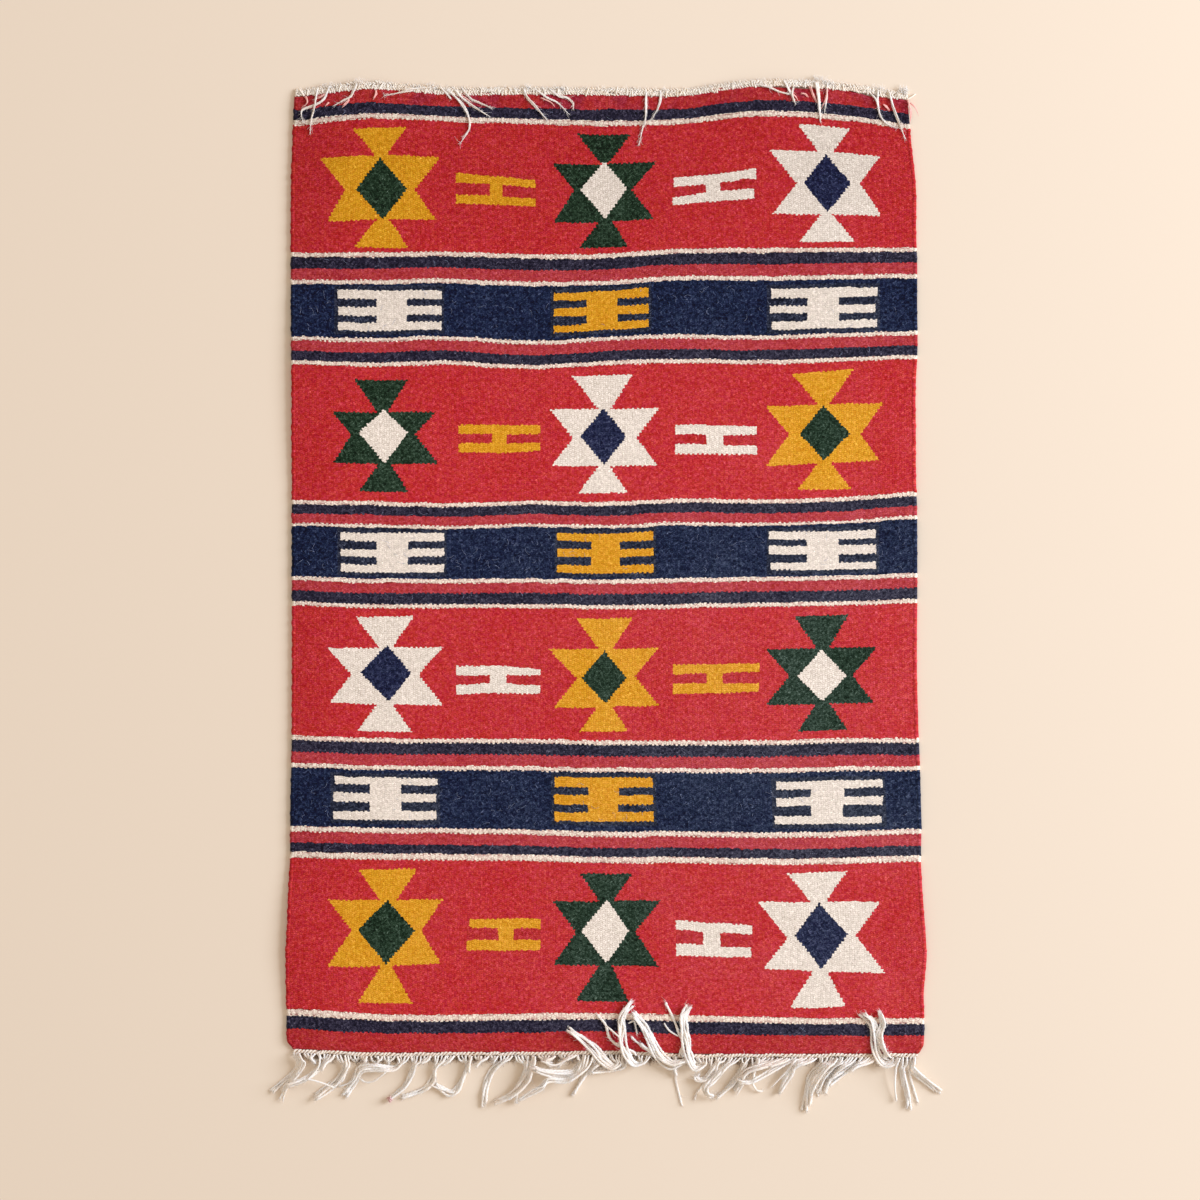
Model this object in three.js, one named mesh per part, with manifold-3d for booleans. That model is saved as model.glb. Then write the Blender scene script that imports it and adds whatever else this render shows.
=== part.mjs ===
// Small kilim rug, about two feet by three, lying flat: one tapestry-woven wool cloth, its undyed
// warp ends held by a twined heading at each end and left as a rough, combed-about fringe.
// Millimetres, +Z up, +Y towards the upper end, origin at the centre of the cloth's underside.

import * as THREE from 'three';
import { mergeVertices } from 'three/addons/utils/BufferGeometryUtils.js';
import Module from 'manifold-3d';

const wasm = await Module();
wasm.setup();

// Driving sizes
const CLOTH = { width: 598, halfLength: 457.5, thickness: 4 };
const CLOTH_GRID = { columns: 26, rows: 36, rim: 3, rimDrop: 1.2 };
const GAP = 0.3;
const UPPER_STRIP = { width: 7.6, height: 3.6, shoulder: 0.6, steps: 96, lumps: 40, lump: 0.1 };
const LOWER_STRIP = { width: 4.4, height: 3.4, shoulder: 0.7, steps: 96, lumps: 48, lump: 0.08 };
const YARN = { flatness: 0.5, lowest: 1.2, highest: 2.4, crown: 0.75, tip: 0.55 };
const SECTIONS = { rootDepth: 0.65, rootStep: 2.2, step: 5.5, sample: 1.5, climb: 1.1 };

// The weft lines as they really run. Each row is one line: its height on a straight loom, and how
// far it strays from there at the places across the cloth that ACROSS names.
const ACROSS = [-290, -223, -147, -70, 2, 73, 150, 226, 293];
const WEFT_LINES = [
  { line: 'upper edge', loomY: 457.5, stray: [-2.6, 4.1, -0.7, -0.7, -1.1, -2.1, 6.5, 3.6, -6.4] },
  { line: 'upper stripes', loomY: 434.5, stray: [-2.5, 4.2, 1.3, -1.1, -3, -1.1, 6.1, 2.3, -6.3] },
  { line: 'first band, top', loomY: 294, stray: [-2.1, -2.1, -1, -3.3, -2.9, 2.2, 2.2, 3.3, 3.8] },
  { line: 'first band, foot', loomY: 212.5, stray: [-0.3, -2.2, -0.5, -5, -0.8, 1.1, 0, 2.7, 4.8] },
  { line: 'second band, top', loomY: 59, stray: [-0.6, -1.8, -3.7, -0.9, -2.5, 0.6, -0.2, 2, 6.8] },
  { line: 'second band, foot', loomY: -18, stray: [1.4, -1.1, -1.1, -1.1, -2.1, -1.1, 0.2, 1.4, 4] },
  { line: 'third band, top', loomY: -172, stray: [3.3, 1, 0.5, 0, -1.4, -1.4, -1.7, 0.3, -0.2] },
  { line: 'third band, foot', loomY: -260, stray: [3.3, 2.2, 1.4, 0.3, -1.9, -1.4, -2.9, -1.9, 0.5] },
  { line: 'lower stripes', loomY: -421, stray: [5.5, 0.8, -0.7, 0.8, 1.2, 1.2, -2.1, -3.5, -3.1] },
  { line: 'lower edge', loomY: -457.5, stray: [2.8, 0.4, 1.3, 0.9, 0.4, -1.1, -1.5, -1.5, -1.5] },
];

// The two selvedges: where the cloth ends left and right at each loom height.
const SIDES = [
  { loomY: 457.5, left: -295.5, right: 290.5 },
  { loomY: 425, left: -298, right: 293.5 },
  { loomY: 390, left: -299.4, right: 296.5 },
  { loomY: 350, left: -299.4, right: 298.4 },
  { loomY: -150, left: -299.4, right: 298.4 },
  { loomY: -190, left: -299.4, right: 300.8 },
  { loomY: -240, left: -299.6, right: 303 },
  { loomY: -275, left: -300, right: 302.3 },
  { loomY: -315, left: -303, right: 305.2 },
  { loomY: -365, left: -305.8, right: 308 },
  { loomY: -400, left: -304.6, right: 305.2 },
  { loomY: -430, left: -303, right: 306 },
  { loomY: -450, left: -302.6, right: 305 },
  { loomY: -457.5, left: -297.5, right: 300 },
];

// Low swells where the cloth doesn't lie quite down on the floor.
const SWELLS = [
  { where: 'upper edge, right of the middle', x: 152, y: 462, reachX: 72, reachY: 60, height: 3 },
  { where: 'upper left corner', x: -235, y: 462, reachX: 60, reachY: 55, height: 2.2 },
  { where: 'left edge, low down', x: -306, y: -345, reachX: 55, reachY: 80, height: 2.4 },
  { where: 'right edge, low down', x: 308, y: -330, reachX: 50, reachY: 85, height: 2.2 },
  { where: 'right edge, second band', x: 300, y: 70, reachX: 60, reachY: 110, height: 2 },
  { where: 'left edge, first band', x: -300, y: 190, reachX: 50, reachY: 120, height: 1.8 },
];

// Loose yarns of the upper end. Each leaves the heading at root and lies over the cloth: a bend is
// [x, reach], reach being the distance past the cloth's edge, below zero where it lies on the cloth.
const UPPER_YARNS = [
  { name: 'corner long', width: 2.2, root: -262,
    bends: [[-267, -6], [-277, -12], [-288, -17], [-287, -27]] },
  { name: 'corner second', width: 1.8, root: -273, bends: [[-276, -14], [-279, -25], [-280, -38]] },
  { name: 'left short', width: 2.4, root: -236, bends: [[-241, -3], [-248, -7], [-257, -12]] },
  { name: 'flat along edge', width: 2.2, root: -178, bends: [[-187, -2], [-197, -3], [-208, -4]] },
  { name: 'left spray, long', width: 2.2, root: -149,
    bends: [[-142, -3], [-134, -11], [-129, -22], [-128, -34], [-137, -48]] },
  { name: 'left spray, middle', width: 2.2, root: -143, bends: [[-135, -4], [-125, -12], [-109, -22]] },
  { name: 'left spray, upper', width: 1.8, root: -135, bends: [[-127, -5], [-119, -9], [-107, -14]] },
  { name: 'pair, left', width: 2.2, root: -76, bends: [[-73, -4], [-66, -12], [-54, -25]] },
  { name: 'pair, right', width: 2, root: -66, bends: [[-54, -4], [-44, -9], [-34, -19]] },
  { name: 'hook', width: 2, root: -52, bends: [[-43, -2], [-35, -4], [-29, -9], [-29, -15]] },
  { name: 'middle, left', width: 1.8, root: 40, bends: [[41, -8], [40, -24], [37, -35], [34, -49]] },
  { name: 'middle, right', width: 1.8, root: 54, bends: [[54, -6], [51, -16], [46, -25]] },
  { name: 'crest short', width: 2, root: 172, bends: [[179, 0], [183, -10]] },
  { name: 'crest thick', width: 3, root: 204, bends: [[206, -8], [207, -27]] },
  { name: 'crest thin', width: 1.8, root: 214, bends: [[213, -6], [211, -17]] },
  { name: 'right, turning', width: 2, root: 262, bends: [[262, -8], [264, -21], [270, -28], [279, -33]] },
  { name: 'right, long', width: 2.2, root: 272, bends: [[275, -7], [278, -18], [288, -43]] },
];

// Locks of the lower fringe, in the order in which they lie on each other. Locks that were thrown
// back turn outside the heading and come to lie on the cloth.
const LOWER_LOCKS = [
  { name: 'corner outer', width: 2.6, root: -295, bends: [[-292, 9], [-296, 19], [-308, 32], [-319, 38]] },
  { name: 'corner inner', width: 2.6, root: -290, bends: [[-287, 11], [-292, 21], [-303, 35], [-307, 46]] },
  { name: 'corner arch', width: 1.6, root: -284, bends: [[-280, 6], [-275, 9]] },
  { name: 'long to corner', width: 3.4, root: -266,
    bends: [[-266, 10], [-274, 20], [-286, 27], [-303, 34]] },
  { name: 'three together', width: 4.2, root: -248,
    bends: [[-246, 13], [-252, 25], [-263, 35], [-276, 45]] },
  { name: 'gathered sideways', width: 4,
    root: -194, bends: [[-194, 11], [-200, 16], [-218, 15], [-232, 17], [-238, 28], [-247, 44]] },
  { name: 'stub one', width: 2.4, root: -203, bends: [[-205, 10]] },
  { name: 'stub two', width: 2.4, root: -217, bends: [[-216, 10]] },
  { name: 'stub three', width: 2.4, root: -227, bends: [[-228, 10]] },
  { name: 'stub four', width: 2.4, root: -238, bends: [[-236, 11]] },
  { name: 'knot tipped', width: 2.8, root: -177, bends: [[-181, 12], [-184, 22], [-191, 34], [-204, 47]] },
  { name: 'knot feeder', width: 2.2, root: -165, bends: [[-170, 8], [-176, 11]] },
  { name: 'wispy', width: 3.2, root: -157, bends: [[-161, 16], [-164, 28], [-173, 37], [-192, 44]] },
  { name: 'wispy feeder', width: 2.2, root: -142, bends: [[-148, 8], [-155, 12]] },
  { name: 'hooked back', width: 3.4,
    root: -138, bends: [[-130, 12], [-134, 25], [-140, 37], [-148, 40], [-160, 34]] },
  { name: 'hook feeder', width: 2.2, root: -110, bends: [[-117, 9], [-123, 13]] },
  { name: 'straight down', width: 3.2, root: -92, bends: [[-97, 11], [-106, 20], [-113, 34], [-114, 53]] },
  { name: 'straight feeder', width: 2, root: -107, bends: [[-104, 10]] },
  { name: 'thick pair, left', width: 4.4, root: -76, bends: [[-74, 13], [-77, 25], [-82, 37], [-85, 48]] },
  { name: 'thick pair, right', width: 3, root: -68, bends: [[-69, 14], [-74, 28], [-88, 41], [-104, 48]] },
  { name: 'loop one', width: 2, root: -59, bends: [[-55, 8], [-47, 11]] },
  { name: 'loop two', width: 2, root: -32, bends: [[-38, 8], [-43, 13]] },
  { name: 'swept left', width: 4.4, root: -20,
    bends: [[-21, 10], [-29, 19], [-42, 21], [-56, 19], [-68, 15]] },
  { name: 'swept low', width: 2.6, root: -14,
    bends: [[-20, 18], [-36, 27], [-53, 27], [-61, 34], [-80, 45]] },
  { name: 'thin right', width: 2, root: -5, bends: [[-10, 15], [-18, 24], [-24, 34], [-29, 43]] },
  { name: 'swept from middle', width: 2.4, root: 21, bends: [[18, 15], [6, 18], [-11, 19]] },
  { name: 'thrown left', width: 4.6,
    root: 14, bends: [[14, 11], [8, 13], [0, 6], [-9, -3], [-20, -13], [-33, -21]] },
  { name: 'thrown thin', width: 1.8, root: 26, bends: [[20, -3], [13, -7], [7, -15], [2, -26], [-4, -35]] },
  { name: 'thrown thick', width: 5,
    root: 41, bends: [[37, 11], [29, 11], [22, 2], [18, -9], [17, -22], [19, -34], [27, -47]] },
  { name: 'hanging thread', width: 1.6, root: 66, bends: [[68, 16], [70, 28], [75, 51]] },
  { name: 'thrown under', width: 1.8, root: 47, bends: [[41, -3], [32, -10], [24, -15]] },
  { name: 'thrown wide', width: 5,
    root: 79, bends: [[74, 11], [64, 12], [54, 3], [46, -10], [39, -24], [28, -38]] },
  { name: 'thrown straight', width: 1.8, root: 78, bends: [[76, -8], [73, -19], [68, -31], [61, -48]] },
  { name: 'thrown upright', width: 5.4,
    root: 98, bends: [[95, 12], [88, 14], [82, 4], [79, -9], [78, -22], [77, -34], [82, -43]] },
  { name: 'long thread', width: 1.6, root: 104, bends: [[103, 16], [98, 30], [90, 41], [85, 50]] },
  { name: 'turned up', width: 3.4, root: 111, bends: [[109, 11], [104, 20], [97, 27], [90, 26], [87, 21]] },
  { name: 'curled left', width: 3.4, root: 125,
    bends: [[117, 14], [104, 25], [98, 33], [99, 40], [104, 44]] },
  { name: 'slanting one', width: 3.2, root: 138, bends: [[134, 13], [125, 28], [117, 37], [108, 45]] },
  { name: 'slanting two', width: 3, root: 152, bends: [[147, 12], [137, 24], [126, 38]] },
  { name: 'curl thread', width: 1.5, root: 146, bends: [[144, 18], [143, 29], [147, 37], [154, 39]] },
  { name: 'flat left one', width: 3, root: 174, bends: [[165, 9], [150, 13], [138, 19], [131, 26]] },
  { name: 'flat left two', width: 2.6, root: 184,
    bends: [[177, 10], [162, 17], [150, 24], [139, 28], [127, 28]] },
  { name: 'single slant', width: 3.4, root: 192, bends: [[184, 11], [178, 21], [173, 31], [166, 42]] },
  { name: 'comb one', width: 3.2, root: 216, bends: [[208, 13], [199, 24], [194, 37], [192, 58]] },
  { name: 'comb two', width: 2.2, root: 222, bends: [[213, 14], [204, 26], [199, 38], [197, 51]] },
  { name: 'comb three', width: 2.8, root: 229, bends: [[220, 14], [210, 25], [206, 34], [207, 42]] },
  { name: 'comb four', width: 2.8, root: 238, bends: [[227, 15], [217, 26], [212, 39]] },
  { name: 'comb five', width: 3.8, root: 250, bends: [[241, 13], [230, 22], [217, 31]] },
  { name: 'corner thrown', width: 4.4,
    root: 280, bends: [[276, 10], [268, 11], [261, 3], [259, -8], [258, -22], [255, -31], [247, -38]] },
  { name: 'corner thrown, second', width: 3,
    root: 273, bends: [[270, 2], [266, -7], [264, -17], [267, -27], [264, -38]] },
  { name: 'corner spray one', width: 1.8, root: 284, bends: [[279, 15], [278, 32], [280, 47]] },
  { name: 'corner spray two', width: 3, root: 288, bends: [[286, 18], [289, 37], [292, 56]] },
  { name: 'corner spray three', width: 1.8, root: 292, bends: [[292, 22], [297, 36], [301, 49]] },
  { name: 'corner spray four', width: 3.2, root: 296, bends: [[296, 15], [306, 26], [322, 38]] },
];

// Colours of the dyed wool and of the undyed warp.
const MADDER_WOOL = { color: 0xb8303a, roughness: 0.95, metalness: 0 };
const RAW_WARP = { color: 0xe6dccf, roughness: 0.9, metalness: 0 };

// A smooth curve through a short table, read at one place: cubic pieces whose slope at each entry
// is that of the line between its two neighbours.
function readCurve(places, values, place) {
  const last = places.length - 1;
  const at = THREE.MathUtils.clamp(place, places[0], places[last]);
  let i = 0;
  while (i < last - 1 && at > places[i + 1]) i += 1;
  const slope = (k) => {
    const a = Math.max(k - 1, 0);
    const b = Math.min(k + 1, last);
    return (values[b] - values[a]) / (places[b] - places[a]);
  };
  const span = places[i + 1] - places[i];
  const t = (at - places[i]) / span;
  const rise = values[i + 1] - values[i];
  const early = slope(i) * span - rise;
  const late = rise - slope(i + 1) * span;
  return values[i] + t * rise + t * (1 - t) * ((1 - t) * early + t * late);
}

// Rows of a table between which a loom height falls, and how far it is from the upper of them.
function rowsAround(table, loomY) {
  let i = 0;
  while (i < table.length - 2 && loomY < table[i + 1].loomY) i += 1;
  const upper = table[i];
  const lower = table[i + 1];
  const down = THREE.MathUtils.clamp((upper.loomY - loomY) / (upper.loomY - lower.loomY), 0, 1);
  return { upper, lower, down };
}

function strayAt(x, loomY) {
  const { upper, lower, down } = rowsAround(WEFT_LINES, loomY);
  const above = readCurve(ACROSS, upper.stray, x);
  const below = readCurve(ACROSS, lower.stray, x);
  return THREE.MathUtils.lerp(above, below, down);
}

// Loom place to floor place: u runs from -1 at the left selvedge to 1 at the right one.
function clothPoint(u, loomY) {
  const { upper, lower, down } = rowsAround(SIDES, loomY);
  const left = THREE.MathUtils.lerp(upper.left, lower.left, down);
  const right = THREE.MathUtils.lerp(upper.right, lower.right, down);
  const x = THREE.MathUtils.lerp(left, right, (u + 1) / 2);
  return { x, y: loomY + strayAt(x, loomY) };
}

function edgeY(x, side) {
  const loomY = side * CLOTH.halfLength;
  return loomY + strayAt(x, loomY);
}

function liftAt(x, y) {
  let lift = 0;
  for (const swell of SWELLS) {
    const away = ((x - swell.x) / swell.reachX) ** 2 + ((y - swell.y) / swell.reachY) ** 2;
    lift += swell.height * Math.max(0, 1 - away) ** 2;
  }
  return lift;
}

// Moves every point of a box of unit size to where a function of its own coordinates puts it.
function shapedBox(segments, shape) {
  const geometry = new THREE.BoxGeometry(1, 1, 1, ...segments);
  const spots = geometry.attributes.position;
  for (let i = 0; i < spots.count; i += 1) {
    const spot = shape(spots.getX(i) + 0.5, spots.getY(i) + 0.5, spots.getZ(i) + 0.5);
    spots.setXYZ(i, spot[0], spot[1], spot[2]);
  }
  geometry.deleteAttribute('normal');
  geometry.deleteAttribute('uv');
  return mergeVertices(geometry, 1e-4);
}

// Grid steps across a stretch: the first and last step are the narrow rim, the others are even.
function rimmedStep(fraction, count, length, rim) {
  const index = Math.round(fraction * count);
  if (index === 0) return 0;
  if (index === count) return length;
  return rim + (index - 1) * (length - 2 * rim) / (count - 2);
}

// The cloth: flat below, with a rounded rim, lifted as a whole over its swells.
function clothGeometry() {
  const { columns, rows, rim, rimDrop } = CLOTH_GRID;
  return shapedBox([columns, rows, 1], (a, b, c) => {
    const across = rimmedStep(a, columns, CLOTH.width, rim);
    const along = rimmedStep(b, rows, 2 * CLOTH.halfLength, rim);
    const { x, y } = clothPoint(2 * across / CLOTH.width - 1, along - CLOTH.halfLength);
    const onRim = a === 0 || a === 1 || b === 0 || b === 1;
    const top = CLOTH.thickness - (onRim ? rimDrop : 0);
    return [x, y, liftAt(x, y) + (c > 0.5 ? top : 0)];
  });
}

// A twined heading: a low ridge along the cloth's end, lumpy where its twists sit.
function stripGeometry(strip, side) {
  const ends = SIDES[side > 0 ? 0 : SIDES.length - 1];
  return shapedBox([strip.steps, 2, 1], (a, b, c) => {
    const x = THREE.MathUtils.lerp(ends.left, ends.right, a);
    const lump = 1 + strip.lump * Math.sin(2 * Math.PI * strip.lumps * a + 2 * b);
    const inner = edgeY(x, side) + side * GAP;
    const across = side > 0 ? b : 1 - b;
    const y = inner + side * across * strip.width * lump;
    const height = strip.height * lump * (b === 0.5 ? 1 : strip.shoulder);
    return [x, y, liftAt(x, y) + (c > 0.5 ? height : 0)];
  });
}

// The route of one yarn or lock, from inside its heading to its tip.
function routeOf(yarn, strip, side) {
  const rootY = edgeY(yarn.root, side) + side * (GAP + strip.width * SECTIONS.rootDepth);
  const points = [new THREE.Vector2(yarn.root, rootY)];
  for (const [x, reach] of yarn.bends) {
    points.push(new THREE.Vector2(x, side * (CLOTH.halfLength + reach)));
  }
  return new THREE.SplineCurve(points);
}

// What a yarn lies on at one place: the floor, the heading, the cloth, or yarns laid before it.
// Aside is how far the yarn's half width reaches towards the cloth there.
function supportAt(spot, reach, aside, strip, side, laid) {
  const beyond = side * (spot.y - edgeY(spot.x, side));
  const lift = liftAt(spot.x, spot.y);
  let height = 0;
  if (beyond < GAP + strip.width + aside) height = lift + strip.height * (1 + strip.lump) + GAP;
  if (beyond < aside + GAP / 2) {
    const onRim = THREE.MathUtils.clamp(1 + (beyond - aside) / CLOTH_GRID.rim, 0, 1);
    const top = lift + CLOTH.thickness - CLOTH_GRID.rimDrop * onRim + GAP;
    height = beyond < -aside ? top : Math.max(height, top);
  }
  for (const other of laid) {
    const near = Math.hypot(other.x - spot.x, other.y - spot.y) < reach + other.reach + GAP;
    if (near) height = Math.max(height, other.top + GAP);
  }
  return height;
}

// Places along a yarn at which it has a section: close together at its root, then even.
function sectionPlaces(length) {
  const places = [0, SECTIONS.rootStep, 2 * SECTIONS.rootStep];
  const rest = length - 2 * SECTIONS.rootStep;
  const count = Math.max(1, Math.round(rest / SECTIONS.step));
  for (let i = 1; i <= count; i += 1) places.push(2 * SECTIONS.rootStep + rest * i / count);
  return places;
}

// Lays one yarn: a strand of four sides whose underside is level across, resting on what is below.
function layYarn(yarn, strip, side, laid) {
  const route = routeOf(yarn, strip, side);
  const length = route.getLength();
  const count = Math.ceil(length / SECTIONS.sample);
  const reach = yarn.width / 2;
  const thick = THREE.MathUtils.clamp(yarn.width * YARN.flatness, YARN.lowest, YARN.highest);
  const samples = Array.from({ length: count + 1 }, (_, k) => {
    const spot = route.getPointAt(k / count);
    const aside = reach * Math.abs(route.getTangentAt(k / count).x);
    return { spot, aside, beyond: side * (spot.y - edgeY(spot.x, side)) };
  });
  const inStrip = ({ aside, beyond }) => beyond > aside && beyond < GAP + strip.width + aside;
  const rooted = samples.findIndex((sample) => !inStrip(sample));
  const supports = samples.map(({ spot, aside }, k) => (
    k < rooted ? 0 : supportAt(spot, reach, aside, strip, side, laid)
  ));
  const places = sectionPlaces(length);
  const heights = places.map((place, i) => {
    const before = place - places[Math.max(i - 1, 0)];
    const after = places[Math.min(i + 1, places.length - 1)] - place;
    let height = 0;
    supports.forEach((support, k) => {
      const away = k * length / count - place;
      const outside = Math.max(0, away > 0 ? away - after : -away - before);
      height = Math.max(height, support - SECTIONS.climb * outside);
    });
    return height;
  });
  const baseAt = (place) => {
    let i = 0;
    while (i < places.length - 2 && place > places[i + 1]) i += 1;
    const part = (place - places[i]) / (places[i + 1] - places[i]);
    return THREE.MathUtils.lerp(heights[i], heights[i + 1], THREE.MathUtils.clamp(part, 0, 1));
  };
  samples.forEach(({ spot }, k) => {
    const top = baseAt(k * length / count) + thick;
    if (k >= rooted) laid.push({ x: spot.x, y: spot.y, reach, top });
  });
  const steps = places.length - 1;
  return shapedBox([1, steps, 1], (a, b, c) => {
    const i = Math.round(b * steps);
    const along = Math.min(places[i] / length, 1);
    const spot = route.getPointAt(along);
    const ahead = route.getTangentAt(along);
    const taper = i === steps ? YARN.tip : 1;
    const crown = c > 0.5 ? YARN.crown : 1;
    const off = (a - 0.5) * yarn.width * taper * crown;
    return [spot.x + off * ahead.y, spot.y - off * ahead.x, heights[i] + c * thick * taper];
  });
}

function solidOf(geometry) {
  return new wasm.Manifold(new wasm.Mesh({
    numProp: 3,
    vertProperties: new Float32Array(geometry.attributes.position.array),
    triVerts: new Uint32Array(geometry.index.array),
  }));
}

function geometryOf(solid) {
  const mesh = solid.getMesh();
  const geometry = new THREE.BufferGeometry();
  geometry.setAttribute('position', new THREE.BufferAttribute(new Float32Array(mesh.vertProperties), 3));
  geometry.setIndex(new THREE.BufferAttribute(new Uint32Array(mesh.triVerts), 1));
  return geometry;
}

// A heading with its yarns: their roots are one with it, and each lies free from there on.
function fringeGeometry(strip, side, yarns) {
  const laid = [];
  let solid = solidOf(stripGeometry(strip, side));
  for (const yarn of yarns) {
    solid = solid.add(solidOf(layYarn(yarn, strip, side, laid)));
  }
  return geometryOf(solid);
}

function namedMesh(name, geometry, finish) {
  const mesh = new THREE.Mesh(geometry, new THREE.MeshStandardMaterial(finish));
  mesh.name = name;
  return mesh;
}

const rug = new THREE.Group();
rug.add(namedMesh('kilim_cloth', clothGeometry(), MADDER_WOOL));
rug.add(namedMesh('upper_fringe', fringeGeometry(UPPER_STRIP, 1, UPPER_YARNS), RAW_WARP));
rug.add(namedMesh('lower_fringe', fringeGeometry(LOWER_STRIP, -1, LOWER_LOCKS), RAW_WARP));

export default rug;
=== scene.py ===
"""Small kilim rug, about two feet by three, laid flat on a pale floor and seen from straight above.

The cloth is woven on paper first: every pattern is charted on a straight loom, in millimetres, and
the finished cloth is bent to the wavering lines of the real one. Its wool is a weft-faced weave, so
the colours change from one small float of weft to the next. The undyed warp ends are laid one by
one, each on whatever lies under it.
"""

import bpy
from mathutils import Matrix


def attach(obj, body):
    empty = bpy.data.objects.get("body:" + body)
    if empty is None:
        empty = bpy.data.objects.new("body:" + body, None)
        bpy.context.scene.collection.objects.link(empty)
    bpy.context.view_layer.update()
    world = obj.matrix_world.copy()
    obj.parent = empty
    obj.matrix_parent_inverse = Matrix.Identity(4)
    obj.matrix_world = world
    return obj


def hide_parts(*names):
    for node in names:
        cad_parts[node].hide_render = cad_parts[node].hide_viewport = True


bl_info = {
    "name": "Kilim rug",
    "version": (1, 0, 0),
    "blender": (4, 5, 0),
    "location": "View3D > Sidebar > Kilim",
    "description": "Weaves a small kilim rug with its headings and fringe, and lights it",
    "category": "Object",
}

import bpy
import numpy as np

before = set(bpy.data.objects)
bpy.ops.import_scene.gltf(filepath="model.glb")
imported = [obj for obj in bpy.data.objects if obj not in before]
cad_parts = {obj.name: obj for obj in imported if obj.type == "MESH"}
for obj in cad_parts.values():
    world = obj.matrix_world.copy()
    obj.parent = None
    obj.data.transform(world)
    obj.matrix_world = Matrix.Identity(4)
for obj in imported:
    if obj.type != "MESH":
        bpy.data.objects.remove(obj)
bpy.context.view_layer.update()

MM = 0.001

# Sizes shared with the solids, in millimetres

HALF_WIDTH = 299.0
HALF_LENGTH = 457.5
THICKNESS = 4.0
GAP = 0.3
UPPER_HEADING = {"side": 1, "width": 7.6, "height": 3.6}
LOWER_HEADING = {"side": -1, "width": 4.4, "height": 3.4}
CLIMB = 0.22
SHORT = 14
SOFTNESS = 0.55
YARN_FLATNESS = 0.74
UPPER_ROWS = [(0.9, 3.0), (3.2, 2.5), (5.6, 1.9)]
LOWER_ROWS = [(1.5, 2.5)]
FIRST_ROOT = -295.5
LAST_ROOT = 297.5
ROOT_SPACING = 3.2
ROOT_REACH = 17

# How deep in the heading the yarns leave it, as a share of its width.
ROOT_DEPTH = 0.65

# The weft lines as they really run: each row is a height on the straight loom, and how far the line
# strays from it at the places across the cloth that ACROSS names.
ACROSS = [-290, -223, -147, -70, 2, 73, 150, 226, 293]
WEFT_LINES = [
    (457.5, [-2.6, 4.1, -0.7, -0.7, -1.1, -2.1, 6.5, 3.6, -6.4]),
    (434.5, [-2.5, 4.2, 1.3, -1.1, -3, -1.1, 6.1, 2.3, -6.3]),
    (294, [-2.1, -2.1, -1, -3.3, -2.9, 2.2, 2.2, 3.3, 3.8]),
    (212.5, [-0.3, -2.2, -0.5, -5, -0.8, 1.1, 0, 2.7, 4.8]),
    (59, [-0.6, -1.8, -3.7, -0.9, -2.5, 0.6, -0.2, 2, 6.8]),
    (-18, [1.4, -1.1, -1.1, -1.1, -2.1, -1.1, 0.2, 1.4, 4]),
    (-172, [3.3, 1, 0.5, 0, -1.4, -1.4, -1.7, 0.3, -0.2]),
    (-260, [3.3, 2.2, 1.4, 0.3, -1.9, -1.4, -2.9, -1.9, 0.5]),
    (-421, [5.9, 0.8, -0.3, 1.3, 1.6, -0.4, -2.1, -3.5, -3.1]),
    (-457.5, [2.0, -1.3, -1.0, -0.9, 0.4, -2.1, -2.8, -2.4, -2.3]),
]

# How far the outermost red reaches under the upper heading: x, then how much further up.
UPPER_REACH = [
    (-280, 0), (-260, 0.4), (-200, 0.5), (-185, 1.4), (-163, 2.2), (-120, 2.2), (-100, 1.8),
    (-80, 1), (-60, 0.2), (0, 0.8), (50, 0.2), (88, 0.6), (108, 3.4), (130, 2.8), (150, -0.8),
    (193, -1.6), (214, 0.4), (236, 0), (256, -2.4), (277, 0.4), (290, 0),
]

# The two selvedges: loom height, and where the cloth ends to the left and to the right there.
SIDES = [
    (457.5, -295.5, 290.5), (425, -298, 293.5), (390, -299.4, 296.5), (350, -299.4, 298.4),
    (-150, -299.4, 298.4), (-190, -299.4, 300.8), (-240, -299.6, 303), (-275, -300, 302.3),
    (-315, -303, 305.2), (-365, -305.8, 308), (-400, -304.6, 305.2), (-430, -303, 306),
    (-450, -302.6, 305), (-457.5, -297.5, 300),
]

# How far the selvedges draw in: loom height, then inwards on the left and outwards on the right.
DRAW = [
    (-457, -0.4, 1.1), (-430, 0.1, 1.0), (-390, 1.5, 0.8), (-350, 2.5, 1.0), (-310, 1.5, 0.3),
    (-270, 0.5, 1.0), (-230, 0.3, 1.2), (-190, 1.0, 1.9), (-150, 1.6, 2.6), (-110, 1.8, 1.5),
    (-70, 1.9, 1.2), (-30, 1.8, 1.6), (10, 1.7, 1.5), (50, 1.6, 1.2), (90, 1.8, 0.1),
    (130, 1.4, 0.1), (170, 1.6, 0.0), (210, 1.2, 1.8), (250, 0.8, 1.5), (290, 0.6, 1.5),
    (330, 0.5, 0.4), (370, 0.8, 1.2), (410, 1.3, 0.0), (457, 0.1, 0.2),
]

# The strip at either selvedge that is drawn in, how far up and in the lower corners are rounded,
# and the loom height from which the outermost red reaches further up.
DRAWN_STRIP = 24
CORNER_HEIGHT = 10
CORNER_DEPTH = 2.4
REACH_FROM = 440

# Low swells where the cloth doesn't lie quite down: x, y, reach along x, reach along y, height.
SWELLS = [
    (152, 462, 72, 60, 3), (-235, 462, 60, 55, 2.2), (-306, -345, 55, 80, 2.4),
    (308, -330, 50, 85, 2.2), (300, 70, 60, 110, 2), (-300, 190, 50, 120, 1.8),
]

# The chart of the weave, on the straight loom

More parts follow.
